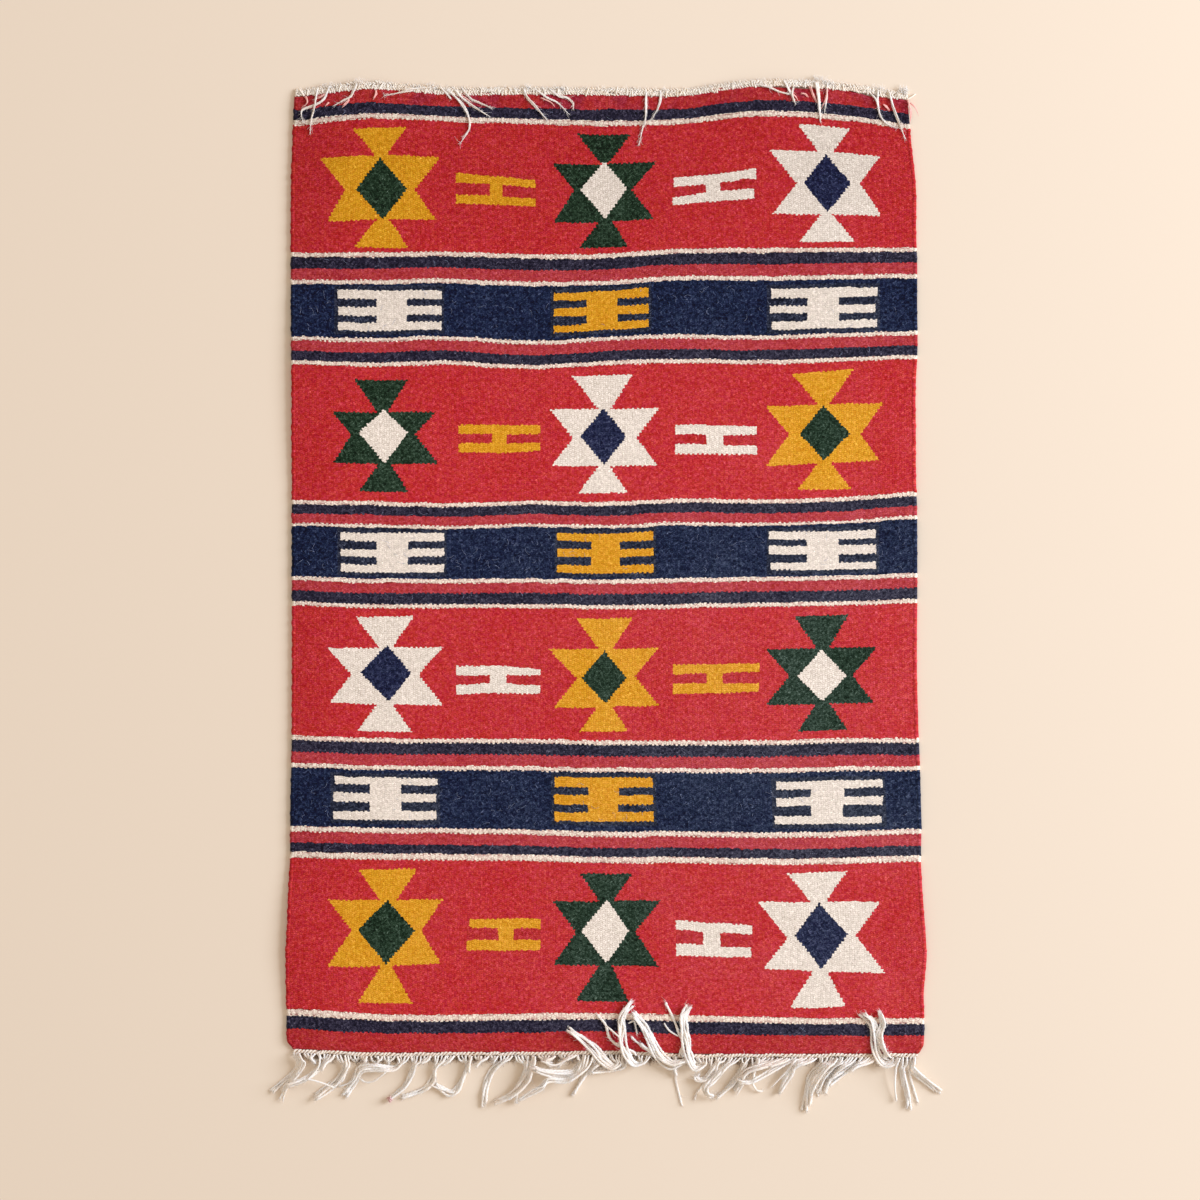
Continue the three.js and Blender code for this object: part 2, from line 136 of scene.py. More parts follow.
# Stripes from the upper end down: the loom height at which each begins, and its wool.
STRIPES = [
    (457.5, "end red"), (444.5, "navy"), (434.1, "cream"), (429.5, "red"),
    (307.4, "cream"), (302.8, "navy"), (292.3, "stripe red"), (281.3, "cream"), (277.3, "blue"),
    (226.2, "cream"), (222.5, "stripe red"), (212.5, "navy"), (203, "cream"), (198.8, "red"),
    (70, "cream"), (66.2, "navy"), (57, "stripe red"), (47.7, "cream"), (44.5, "blue"),
    (-4.8, "cream"), (-8.8, "stripe red"), (-18.5, "navy"), (-29, "cream"), (-33, "red"),
    (-159, "cream"), (-163.1, "navy"), (-174.5, "stripe red"), (-185.5, "cream"), (-189.5, "blue"),
    (-245.5, "cream"), (-250.5, "stripe red"), (-261.5, "navy"), (-270, "cream"), (-276, "red"),
    (-422, "cream"), (-428, "navy"), (-439.5, "end red"),
]

# Motifs: kind, wool and straight-edged patches. A patch is four corners on the straight loom, x and
# y in millimetres: upper left, upper right, lower right, lower left. A star's second row is its body,
# two patches that meet at its waist: upper left, upper right, right waist, left waist, lower right,
# lower left. Its last row is its heart: top, right, bottom, left.
MOTIFS = [
    ("star", "yellow",
     (-240.2, 421.1, -188.2, 422.1, -206.7, 395.6, -217.2, 395.6),
     (-270.2, 396.1, -155.2, 395.6, -179.7, 364.6, -246.2, 365.6, -159.2, 337.1, -263.7, 336.6),
     (-216.7, 336.6, -204.2, 336.6, -185.2, 310.6, -237.7, 312.1),
     (-212.7, 394.1, -187.2, 365.1, -210.2, 337.1, -236.2, 365.1)),
    ("star", "green",
     (-23, 421.1, 28, 421.1, 8, 395.6, -2.5, 395.6),
     (-47, 392.6, 53, 394.1, 28, 367.6, -27, 368.1, 48.5, 338.6, -47.5, 337.1),
     (-2, 340.1, 7.5, 339.6, 24.5, 313.1, -22.5, 313.6),
     (2, 396.1, 23.5, 369.6, 2.5, 340.6, -21, 368.6)),
    ("star", "cream",
     (190, 422.6, 240, 422.1, 220.5, 397.1, 209, 396.6),
     (161, 397.6, 268, 398.6, 246, 370.1, 185.5, 367.6, 266, 338.6, 162, 338.6),
     (208.5, 338.6, 219, 338.6, 241, 313.1, 187, 312.6),
     (215, 395.6, 238, 369.6, 214.5, 341.1, 192.5, 367.6)),
    ("star", "green",
     (-238, 186.2, -186.5, 185.7, -205.5, 155.2, -216, 155.7),
     (-259, 155.2, -159.5, 155.2, -179.5, 134.2, -240.5, 133.2, -157, 106.7, -257.5, 105.7),
     (-213.5, 107.7, -203.5, 107.7, -186.5, 79.7, -233.5, 78.7),
     (-209.5, 157.7, -186.5, 135.2, -208.5, 106.7, -233.5, 135.2)),
    ("star", "cream",
     (-29.3, 190, 28.2, 189, 7.2, 157, -4.8, 157.5),
     (-50.8, 159, 53.7, 156.5, 31.7, 129, -28.8, 130.5, 52.2, 102.5, -48.8, 104),
     (-3.3, 104.5, 5.7, 104.5, 23.7, 78, -23.8, 78),
     (0.7, 158.5, 22.2, 130.5, 1.2, 105, -21.8, 132)),
    ("star", "yellow",
     (180, 189.5, 239, 191, 216, 158.5, 206, 158.5),
     (155, 159, 268, 158, 246, 129, 178, 131.5, 263.5, 103, 156, 102.5),
     (206, 104, 216.5, 103.5, 237, 77.5, 185.5, 78.5),
     (210.5, 158, 236.5, 130, 211, 105.5, 188, 131.5)),
    ("star", "cream",
     (-236, -41.5, -180.5, -40.5, -201.5, -71, -214, -71),
     (-264, -72.5, -152.5, -70.5, -176, -97.5, -240, -97.5, -153, -127, -261, -125.5),
     (-214, -123.5, -203, -123.5, -182.5, -153, -235, -152),
     (-206.5, -69, -183, -96, -204.5, -123, -232, -96)),
    ("star", "yellow",
     (-25.5, -42, 29, -41.5, 8.5, -72, -3.5, -72),
     (-52, -72, 53, -70.5, 30.5, -97.5, -24.5, -100.5, 53.5, -125.5, -47.5, -128.5),
     (-4, -125, 7, -125, 24, -150, -22.5, -151.5),
     (1.5, -73, 23, -99, 2.5, -124, -20.5, -99.5)),
    ("star", "green",
     (182.2, -42, 234.7, -41.5, 215.2, -74, 204.7, -73.5),
     (155.2, -72.5, 261.7, -73, 238.7, -99.5, 178.2, -98.5, 259.2, -126, 155.2, -126),
     (204.7, -124, 215.2, -124, 234.2, -151, 185.7, -151.5),
     (208.7, -74, 232.7, -99.5, 209.7, -123.5, 186.2, -99.5)),
    ("star", "yellow",
     (-233.5, -285.4, -177.5, -284.4, -195.5, -314.4, -210.5, -314.9),
     (-259.5, -315.4, -152, -312.9, -171.5, -342.9, -236.5, -344.4, -152.5, -373.4, -258.5, -379.9),
     (-207.5, -375.4, -199, -374.9, -180, -411.4, -231, -412.4),
     (-204.5, -313.9, -177, -342.9, -203.5, -375.4, -230.5, -343.4)),
    ("star", "green",
     (-23.3, -286.8, 26.2, -286.3, 7.7, -313.3, -4.8, -313.3),
     (-49.3, -313.8, 52.2, -312.3, 28.7, -342.8, -26.8, -343.8, 50.7, -376.3, -47.8, -375.8),
     (-4.3, -375.3, 6.7, -374.8, 23.2, -411.3, -26.8, -410.8),
     (2.2, -311.8, 22.7, -342.3, 2.2, -373.3, -21.8, -342.8)),
    ("star", "cream",
     (173, -284.8, 229.5, -282.8, 208, -311.8, 193, -311.3),
     (144, -312.3, 258.5, -312.8, 234.5, -344.8, 170.5, -346.3, 261.5, -380.3, 148, -376.3),
     (196, -376.3, 206.5, -375.8, 227, -411.3, 174, -413.3),
     (201.5, -312.8, 227, -343.3, 202, -375.8, 177.5, -343.8)),
    ("comb", "cream",
     (-254, 272, -154, 270.5, -154, 262, -254, 263.5),
     (-253.5, 256, -154, 255.5, -154, 247, -253.5, 247.5),
     (-253.5, 241, -153.5, 240.5, -153.5, 232.5, -253.5, 233.5),
     (-217, 270, -187.5, 269.5, -187.5, 234, -217, 234.5)),
    ("comb", "yellow",
     (-47.1, 270, 44.4, 272, 44.4, 262.5, -47.1, 263),
     (-47.1, 255.5, 44.4, 256, 44.4, 247.5, -47.1, 248),
     (-47.1, 239.5, 43.9, 241, 43.9, 233.5, -47.1, 233),
     (-15.1, 270, 13.4, 269, 13.4, 233, -15.1, 234)),
    ("comb", "cream",
     (160.3, 269.1, 262.8, 268.6, 262.8, 260.1, 160.3, 260.6),
     (159.8, 253.1, 260.8, 252.6, 260.8, 244.6, 159.8, 246.1),
     (160.3, 238.1, 261.3, 238.1, 261.3, 230.6, 160.3, 231.1),
     (195.8, 268.1, 225.3, 267.1, 225.3, 231.1, 195.8, 232.1)),
    ("comb", "cream",
     (-251.5, 39, -151.5, 41, -151.5, 32.5, -251.5, 31.5),
     (-251.5, 23, -151.5, 25.5, -151.5, 17.5, -251.5, 16),
     (-251.5, 8.5, -151.5, 10, -151.5, 2, -251.5, 1),
     (-216, 38.5, -186, 39, -186, 3, -216, 3)),
    ("comb", "yellow",
     (-43.1, 38.9, 48.9, 40.4, 48.9, 31.4, -43.1, 31.4),
     (-43.1, 23.9, 48.9, 23.9, 48.9, 16.9, -43.1, 16.9),
     (-43.1, 8.9, 48.9, 8.9, 48.9, 1.4, -43.1, 0.9),
     (-10.6, 38.9, 16.4, 38.4, 16.4, 2.9, -10.6, 2.9)),
    ("comb", "cream",
     (159.5, 38.8, 261, 37.3, 261, 29.3, 159.5, 31.3),
     (159.5, 25.3, 261, 23.3, 261, 14.8, 159.5, 17.3),
     (160, 9.3, 261, 7.3, 261, 0.8, 160, 2.3),
     (194.5, 37.8, 224.5, 37.3, 224.5, 2.3, 194.5, 2.8)),
    ("comb", "cream",
     (-256.4, -196.8, -159.4, -197.3, -159.4, -204.3, -256.4, -203.8),
     (-257.9, -212.3, -159.9, -212.8, -159.9, -220.3, -257.9, -221.3),
     (-258.4, -230.3, -159.9, -228.8, -159.9, -237.3, -258.4, -238.8),
     (-222.9, -197.8, -193.4, -197.8, -193.4, -236.8, -223.4, -237.3)),
    ("comb", "yellow",
     (-47.2, -195, 46.8, -194.5, 46.8, -203.5, -47.2, -204.5),
     (-47.7, -211.5, 46.8, -211, 46.3, -220, -47.7, -220.5),
     (-47.7, -228, 45.8, -227, 45.8, -236, -48.2, -237),
     (-14.7, -195.5, 13.3, -195, 12.3, -235, -15.7, -235.5)),
    ("comb", "cream",
     (162.8, -198.1, 264.8, -197.6, 264.3, -204.6, 162.8, -206.1),
     (162.3, -213.6, 263.8, -213.6, 263.3, -221.6, 162.3, -220.6),
     (161.8, -230.1, 262.8, -232.6, 262.8, -239.1, 161.3, -238.1),
     (196.8, -198.6, 227.3, -199.6, 225.8, -238.6, 195.3, -238.1)),
    ("bridge", "yellow",
     (-141, 381.3, -101, 379.3, -101, 371.3, -141, 372.3),
     (-102.5, 379.3, -63.5, 377.3, -63.5, 370.3, -103, 371.3),
     (-140.5, 361.3, -101, 361.3, -101, 352.8, -141, 352.8),
     (-103, 361.3, -65, 359.3, -65, 351.8, -103, 352.8),
     (-108.5, 373.3, -95.5, 373.3, -95.5, 359.3, -109, 358.8)),
    ("bridge", "cream",
     (68, 377, 105, 377.5, 105, 369, 68, 368.5),
     (103, 377.5, 147, 381, 147, 372.5, 103, 368),
     (67.5, 358, 104.5, 361, 104, 352, 67.5, 350.5),
     (102.5, 361, 145, 363, 144.5, 353, 102.5, 352),
     (99, 371.5, 112.5, 370.5, 112, 358, 98.5, 359)),
    ("bridge", "yellow",
     (-138.8, 143, -98.8, 143.5, -98.8, 135, -138.8, 134.5),
     (-100.3, 143.5, -60.3, 144, -60.3, 135, -100.3, 135),
     (-137.8, 126, -98.8, 126, -98.8, 116.5, -137.8, 117.5),
     (-100.3, 126, -60.3, 126, -60.3, 118.5, -100.3, 116.5),
     (-105.3, 136, -92.3, 136, -92.3, 125.5, -105.3, 125)),
    ("bridge", "cream",
     (69, 140, 107, 139.5, 107, 131, 69, 131),
     (105, 139.5, 147.5, 139.5, 147.5, 131.5, 105, 131),
     (69, 122, 107, 121.5, 107, 112.5, 69, 112.5),
     (105, 121.5, 147.5, 121.5, 147.5, 112.5, 105, 112.5),
     (98.5, 132, 114.5, 132.5, 114.5, 121, 98.5, 121)),
    ("bridge", "cream",
     (-140.5, -89, -98.5, -88.5, -98.5, -97.5, -140.5, -98),
     (-100.5, -88.5, -60, -91.5, -60, -97.5, -100.5, -97.5),
     (-140.5, -107, -98.5, -105, -98.5, -115, -140.5, -116),
     (-100.5, -105, -60, -108, -60, -115.5, -100.5, -115.5),
     (-107.5, -96.5, -93, -96.5, -93, -106, -107.5, -106)),
    ("bridge", "yellow",
     (66.5, -87, 108, -86.5, 108, -95, 66.5, -96.5),
     (106, -86.5, 149, -86, 149, -94, 106, -95),
     (66.5, -104.5, 108, -104.5, 108, -114, 66.5, -114.5),
     (106, -104.5, 148.5, -104.5, 148.5, -113, 106, -114),
     (99, -94, 114, -94, 114, -105.5, 99, -105.5)),
    ("bridge", "yellow",
     (-127, -331.5, -92.5, -331.5, -92, -340.5, -127, -339.5),
     (-94, -331.5, -60, -331.5, -59.5, -341, -94, -340.5),
     (-128, -351.5, -92, -351.5, -92, -361.5, -128, -361.5),
     (-94, -351.5, -60.5, -351.5, -60, -361, -93.5, -361.5),
     (-100, -340, -86, -340, -85.5, -352.5, -99.5, -352.5)),
    ("bridge", "cream",
     (66.7, -331.5, 101.2, -333, 100.7, -342.5, 66.7, -340),
     (99.2, -333, 137.2, -334.5, 137.2, -343.5, 99.2, -342),
     (67.2, -353.5, 100.7, -355, 100.7, -365.5, 66.7, -365.5),
     (98.7, -355, 136.7, -356.5, 136.7, -365.5, 98.7, -365.5),
     (92.7, -339.5, 107.2, -339, 107.2, -357.5, 92.7, -358)),
]
PATCHES = 5
# The wool of a star's heart, by the wool of the star.
HEARTS = {"yellow": "green", "green": "cream", "cream": "heart navy"}
# How far a star's upper and lower triangle reach into its body, so that no ground shows between.
STAR_OVERLAP = 1.5
# How far the ground of another colour reaches past a motif, across and up, and how far past a
# motif the faces carry its chart.
GROUND_REACH = {"comb": (2.5, 3.5), "bridge": (0, 0), "star": (0, 0)}
CHART_MARGIN = 6

# The warp ends

# Loose yarns of the upper end: width, root, then bends. A bend is x and its reach past the cloth's
# edge, below zero where it lies on the cloth.
UPPER_YARNS = [
    (2.2, -262, [(-267, -6), (-277, -12), (-288, -17), (-287, -27)]),
    (1.8, -273, [(-276, -14), (-279, -25), (-280, -38)]),
    (2.4, -236, [(-241, -3), (-248, -7), (-257, -12)]),
    (2, -160, [(-167, 5), (-185, 2.3), (-199, -0.5), (-209, -2.5)]),
    (2.2, -149, [(-142, -3), (-134, -11), (-129, -22), (-128, -34), (-137, -48)]),
    (2.2, -143, [(-135, -4), (-125, -12), (-109, -22)]),
    (1.8, -135, [(-127, -5), (-119, -9), (-107, -14)]),
    (2.2, -76, [(-73, -4), (-66, -12), (-54, -25)]),
    (2, -66, [(-54, -4), (-44, -9), (-34, -19)]),
    (2, -52, [(-43, -2), (-35, -4), (-29, -9), (-29, -15)]),
    (1.8, 40, [(41, -8), (40, -24), (37, -35), (34, -49)]),
    (1.8, 54, [(54, -6), (51, -16), (46, -25)]),
    (2, 172, [(179, 0), (183, -10)]),
    (3, 204, [(206, -8), (207, -27)]),
    (1.8, 214, [(213, -6), (211, -17)]),
    (2, 262, [(262, -8), (264, -21), (270, -28), (279, -33)]),
    (2.2, 272, [(275, -7), (278, -18), (288, -43)]),
]

# Locks of the lower fringe, in the order in which they lie on each other.
LOWER_LOCKS = [
    (2.6, -295, [(-292, 9), (-296, 19), (-308, 32), (-319, 38)]),
    (2.6, -290, [(-287, 11), (-292, 21), (-303, 35), (-307, 46)]),
    (1.6, -284, [(-280, 6), (-275, 9)]),
    (3.4, -266, [(-266, 10), (-274, 20), (-286, 27), (-303, 34)]),
    (4.2, -248, [(-246, 13), (-252, 25), (-263, 35), (-276, 45)]),
    (4, -194, [(-194, 11), (-200, 16), (-218, 15), (-232, 17), (-238, 28), (-247, 44)]),
    (2.4, -203, [(-205, 10)]),
    (2.4, -217, [(-216, 10)]),
    (2.4, -227, [(-228, 10)]),
    (2.4, -238, [(-236, 11)]),
    (2.8, -177, [(-181, 12), (-184, 22), (-191, 34), (-204, 47)]),
    (2.2, -165, [(-170, 8), (-176, 11)]),
    (3.2, -157, [(-161, 16), (-164, 28), (-173, 37), (-192, 44)]),
    (2.2, -142, [(-148, 8), (-155, 12)]),
    (3.4, -138, [(-130, 12), (-134, 25), (-140, 37), (-148, 40), (-160, 34)]),
    (2.2, -110, [(-117, 9), (-123, 13)]),
    (3.2, -92, [(-97, 11), (-106, 20), (-113, 34), (-114, 53)]),
    (2, -107, [(-104, 10)]),
    (4.4, -76, [(-74, 13), (-77, 25), (-82, 37), (-85, 48)]),
    (3, -68, [(-69, 14), (-74, 28), (-88, 41), (-104, 48)]),
    (2, -59, [(-55, 8), (-47, 11)]),
    (2, -32, [(-38, 8), (-43, 13)]),
    (4.4, -20, [(-21, 10), (-29, 19), (-42, 21), (-56, 19), (-68, 15)]),
    (2.6, -14, [(-20, 18), (-36, 27), (-53, 27), (-61, 34), (-80, 45)]),
    (2, -5, [(-10, 15), (-18, 24), (-24, 34), (-29, 43)]),
    (2.4, 21, [(18, 15), (6, 18), (-11, 19)]),
    (4.6, 14, [(14, 11), (8, 13), (0, 6), (-9, -3), (-20, -13), (-33, -21)]),
    (1.8, 26, [(20, -3), (13, -7), (7, -15), (2, -26), (-4, -35)]),
    (5, 41, [(37, 11), (29, 11), (22, 2), (18, -9), (17, -22), (19, -34), (27, -47)]),
    (1.6, 66, [(68, 16), (70, 28), (75, 51)]),
    (1.8, 47, [(41, -3), (32, -10), (24, -15)]),
    (5, 79, [(74, 11), (64, 12), (54, 3), (46, -10), (39, -24), (28, -38)]),
    (1.8, 78, [(76, -8), (73, -19), (68, -31), (61, -48)]),
    (5.4, 98, [(95, 12), (88, 14), (82, 4), (79, -9), (78, -22), (77, -34), (82, -43)]),
    (1.6, 104, [(103, 16), (98, 30), (90, 41), (85, 50)]),
    (3.4, 111, [(109, 11), (104, 20), (97, 27), (90, 26), (87, 21)]),
    (3.4, 125, [(117, 14), (104, 25), (98, 33), (99, 40), (104, 44)]),
    (3.2, 138, [(134, 13), (125, 28), (117, 37), (108, 45)]),
    (3, 152, [(147, 12), (137, 24), (126, 38)]),
    (1.5, 146, [(144, 18), (143, 29), (147, 37), (154, 39)]),
    (3, 174, [(165, 9), (150, 13), (138, 19), (131, 26)]),
    (2.6, 184, [(177, 10), (162, 17), (150, 24), (139, 28), (127, 28)]),
    (3.4, 192, [(184, 11), (178, 21), (173, 31), (166, 42)]),
    (3.2, 216, [(208, 13), (199, 24), (194, 37), (192, 58)]),
    (2.2, 222, [(213, 14), (204, 26), (199, 38), (197, 51)]),
    (2.8, 229, [(220, 14), (210, 25), (206, 34), (207, 42)]),
    (2.8, 238, [(227, 15), (217, 26), (212, 39)]),
    (3.8, 250, [(241, 13), (230, 22), (217, 31)]),
    (4.4, 280, [(276, 10), (268, 11), (261, 3), (259, -8), (258, -22), (255, -31), (247, -38)]),
    (3, 273, [(270, 2), (266, -7), (264, -17), (267, -27), (264, -38)]),
    (1.8, 284, [(279, 15), (278, 32), (280, 47)]),
    (3, 288, [(286, 18), (289, 37), (292, 56)]),
    (1.8, 292, [(292, 22), (297, 36), (301, 49)]),
    (3.2, 296, [(296, 15), (306, 26), (322, 38)]),
]

# Tufts of loose fibre on the upper heading: x, how far past the cloth's end, reach, fibres.
UPPER_TUFTS = [
    (288, 7, 4.5, 110), (212, 5, 5, 70), (204, 8, 3, 40), (-73, 6, 3, 25), (-40, 4, 4, 25),
    (-233, 6, 4, 35), (-262, 5, 4, 30), (-165, 6, 5, 30), (265, 5, 4, 40), (60, 5, 3, 15),
]

# Frayed ends of red wool on the upper end's cloth: width, then bends like those of the yarns.
FRAYED_WOOL = [
    (2.4, [(197, 5.5), (200, -2), (203.5, -10)]), (2.2, [(214, 5), (212.5, -3), (209, -14)]),
    (2, [(188, -0.5), (192, -1.5), (196, -4)]), (2, [(-284.5, -3), (-283, -8), (-287, -14)]),
    (1.6, [(-243, -6), (-246, -9), (-250, -14)]), (1.6, [(-262, -9), (-264, -11), (-266, -13)]),
    (2, [(-266, -1), (-270, -3.5), (-275, -5)]), (2.2, [(-217, 2), (-218, -2), (-220, -6)]),
    (2, [(268, -11), (270, -13), (273, -17)]), (2, [(290, -7), (293.5, -17), (292, -29)]),
    (1.6, [(293, -9), (298, -14), (300.5, -21)]), (1.8, [(-135, -2), (-130, -6), (-126, -9)]),
    (1.6, [(179, 2), (183, -3), (186, -8)]), (1.8, [(-60, -4), (-52, -8), (-46, -12)]),
]

# Single thin yarns that lie on the others. They have no root of their own.
UPPER_STRAYS = [
    [(-165, 6), (-178, 4.8), (-190, 3.2)],
    [(-156, 6), (-150, 0), (-146, -5)],
    [(145, 8), (156, 6), (168, 1), (177, -1)],
    [(182, 8), (180, -1), (182, -8)],
    [(256, -1), (260, -6), (262, -13)],
]
LOWER_STRAYS = [
    [(-271, 1), (-271, 12), (-276, 20), (-284, 27)],
    [(-282, 25), (-274, 27), (-264, 31), (-257, 34)],
    [(-236, 17), (-239, 27), (-247, 32), (-253, 34)],
    [(-232, 26), (-227, 29), (-220, 28), (-214, 24), (-208, 19)],
    [(-165, 32), (-158, 35), (-151, 37)],
    [(-53, 25), (-58, 32), (-67, 35), (-80, 45)],
    [(-59, 8), (-47, 12), (-39, 9), (-32, 5)],
    [(3, -25), (9, -20), (15, -15)],
    [(24, -27), (29, -29), (31, -23), (32, -17)],
    [(58, -27), (63, -20), (71, -15)],
    [(176, 17), (168, 26), (161, 34)],
    [(291, 18), (306, 30), (317, 39)],
]

# Where the knot of red wool is, x and y on the floor.
KNOT_AT = (-204, -504.5)

# Settings that a user would change


def linear(red, green, blue):
    """Turns a colour as seen on a screen, 0 to 255, into the linear values that light works with."""
    shown = np.array([red, green, blue]) / 255
    value = np.where(shown <= 0.04045, shown / 12.92, ((shown + 0.055) / 1.055) ** 2.4)
    return tuple(float(v) for v in value)


def colour_property(name, description, shown):
    """A colour that a user can change, given as it is seen on a screen."""
    return bpy.props.FloatVectorProperty(
        name=name, description=description, subtype="COLOR", size=3, min=0, max=1,
        default=linear(*shown))


def length_property(name, description, default):
    """A length that a user can change, given in millimetres."""
    return bpy.props.FloatProperty(
        name=name, description=description, subtype="DISTANCE", unit="LENGTH", default=default * MM,
        min=0, precision=5)


class KilimClothSettings(bpy.types.PropertyGroup):
    """Weave and dyes of the cloth."""

    warp_pitch: length_property("Warp pitch", "Distance from one warp to the next", 2.3)
    weft_pitch: length_property("Weft pitch", "Height of one float of weft", 1.9)
    red: colour_property("Madder red", "Wool of the wide fields", (191, 38, 42))
    end_red: colour_property("End red", "Wool of the outermost bands", (178, 41, 43))
    stripe_red: colour_property("Stripe red", "Wool of the narrow red stripes", (178, 53, 59))
    navy: colour_property("Navy", "Wool of the narrow dark stripes", (36, 31, 51))
    blue: colour_property("Blue", "Wool of the three wide bands", (6, 21, 56))
    comb_navy: colour_property("Dark navy", "Wool round the combs", (29, 34, 54))
    stain: colour_property("Stain", "Darker stains in the upper end's red", (148, 38, 60))
    slot_red: colour_property("Slot red", "Wool between the bars of a bridge", (183, 37, 41))
    cream: colour_property("Cream", "Undyed wool", (233, 220, 205))
    line_cream: colour_property("Line cream", "Undyed wool of the narrow lines", (243, 227, 208))
    yellow: colour_property("Weld yellow", "Yellow wool", (218, 151, 20))
    green: colour_property("Green", "Green wool", (24, 47, 27))
    heart_navy: colour_property("Heart navy", "Wool of the dark hearts", (21, 27, 62))


class KilimFringeSettings(bpy.types.PropertyGroup):
    """Warp ends and headings."""

    yarn_width: length_property("Yarn width", "Diameter of one plied warp end", 2.4)
    ply_length: length_property("Ply length", "Length of one turn of the two plies", 6.5)
    raw_warp: colour_property("Raw warp", "Undyed warp yarn", (254, 249, 242))
    upper_warp: colour_property("Upper warp", "The upper end's loose yarn", (246, 238, 228))
    heading_warp: colour_property("Heading", "The twined headings' yarn", (252, 241, 226))
    stray_fibre: colour_property("Stray fibre", "Pale fibres on the dark wool", (150, 160, 190))
    # Dark fibres that paint the shade among the lower fringe's roots.
    dusty_fibre: colour_property("Dusty fibre", "Broken fibres under the fringe", (134, 101, 72))
    frayed_red: colour_property("Frayed red", "Red wool frayed at the upper end", (250, 188, 178))
    knot_red: colour_property("Knot red", "Yarn of the small knot", (226, 186, 182))


class KilimStageSettings(bpy.types.PropertyGroup):
    """Floor, light and camera."""

    floor: colour_property("Floor", "Colour of the floor", (237, 221, 200))
    key_power: bpy.props.FloatProperty(
        name="Key power", description="Strength of the soft light from the upper right",
        default=286, min=0, unit="POWER")
    sky: bpy.props.FloatProperty(
        name="Fill", description="Strength of the even light from all round", default=0.555, min=0)
    camera_height: bpy.props.FloatProperty(
        name="Camera height", description="Height of the camera above the floor",
        default=2.71, min=0.5, subtype="DISTANCE", unit="LENGTH")


# The loom, bent to the real cloth


def read_curve(places, values, at):
    """A smooth curve through a short table, read at many places: cubic pieces whose slope at each
    entry is that of the line between its two neighbours."""
    places = np.asarray(places, float)
    values = np.asarray(values, float)
    last = len(places) - 1
    at = np.clip(at, places[0], places[-1])
    before = np.maximum(np.arange(last + 1) - 1, 0)
    after = np.minimum(np.arange(last + 1) + 1, last)
    slope = (values[after] - values[before]) / (places[after] - places[before])
    i = np.clip(np.searchsorted(places, at, side="left") - 1, 0, last - 1)
    span = places[i + 1] - places[i]
    t = (at - places[i]) / span
    rise = values[i + 1] - values[i]
    early = slope[i] * span - rise
    late = rise - slope[i + 1] * span
    return values[i] + t * rise + t * (1 - t) * ((1 - t) * early + t * late)


def stray_at(x, loom_y):
    """How far the weft strays at a place: the two weft lines round it, blended by loom height."""
    x, loom_y = np.broadcast_arrays(np.asarray(x, float), np.asarray(loom_y, float))
    heights = np.array([height for height, _ in WEFT_LINES])
    curves = np.array([read_curve(ACROSS, strays, x.ravel()) for _, strays in WEFT_LINES])
    flat_y = loom_y.ravel()
    upper = np.clip(np.searchsorted(-heights, -flat_y, side="left") - 1, 0, len(heights) - 2)
    down = np.clip((heights[upper] - flat_y) / (heights[upper] - heights[upper + 1]), 0, 1)
    spot = np.arange(flat_y.size)
    stray = (1 - down) * curves[upper, spot] + down * curves[upper + 1, spot]
    return stray.reshape(x.shape)


def selvedges_at(loom_y):
    """The cloth's left and right ends at each loom height, read off the table in straight lines."""
    table = np.array(SIDES[::-1], float)
    left = np.interp(loom_y, table[:, 0], table[:, 1])
    right = np.interp(loom_y, table[:, 0], table[:, 2])
    return left, right


def cloth_point(loom_x, loom_y):
    """Loom place to floor place: x is stretched between the selvedges, y follows its weft line.

    The outermost strip on either side is drawn in as well, by the square of how far along the strip
    it is, and the two lower corners are rounded like a quarter of an ellipse. The outermost red of
    the upper end reaches further up in some places, growing with the power 1.5 of the way there.
    """
    left, right = selvedges_at(loom_y)
    x = left + (right - left) * (loom_x / HALF_WIDTH + 1) / 2
    table = np.array(DRAW, float)
    strip = np.clip(np.abs(loom_x) / DRAWN_STRIP - (HALF_WIDTH / DRAWN_STRIP - 1), 0, 1.05) ** 2
    drawn = np.where(loom_x < 0, read_curve(table[:, 0], table[:, 1], loom_y),
                     read_curve(table[:, 0], table[:, 2], loom_y))
    from_end = np.clip((loom_y + HALF_LENGTH) / CORNER_HEIGHT, 0, 1)
    corner = CORNER_DEPTH * (1 - np.sqrt(1 - (1 - from_end) ** 2)) * -np.sign(loom_x)
    x = x + strip * (drawn + corner)
    reach = np.array(UPPER_REACH, float)
    further = np.clip((loom_y - REACH_FROM) / (HALF_LENGTH - REACH_FROM), 0, 1) ** 1.5
    return x, loom_y + stray_at(x, loom_y) + further * np.interp(x, reach[:, 0], reach[:, 1])


def edge_y(x, side):
    """Where the cloth ends, at the upper end (side 1) or the lower one (side -1)."""
    return side * HALF_LENGTH + stray_at(x, side * HALF_LENGTH)


def lift_at(x, y):
    """Height of the cloth's underside: the sum of round swells, each (1 - distance squared) squared."""
    lift = 0.0
    for middle_x, middle_y, reach_x, reach_y, height in SWELLS:
        away = ((x - middle_x) / reach_x) ** 2 + ((y - middle_y) / reach_y) ** 2
        lift = lift + height * np.maximum(0, 1 - away) ** 2
    return lift


# Making meshes

JUST_ABOVE_FLOOR = 0.02


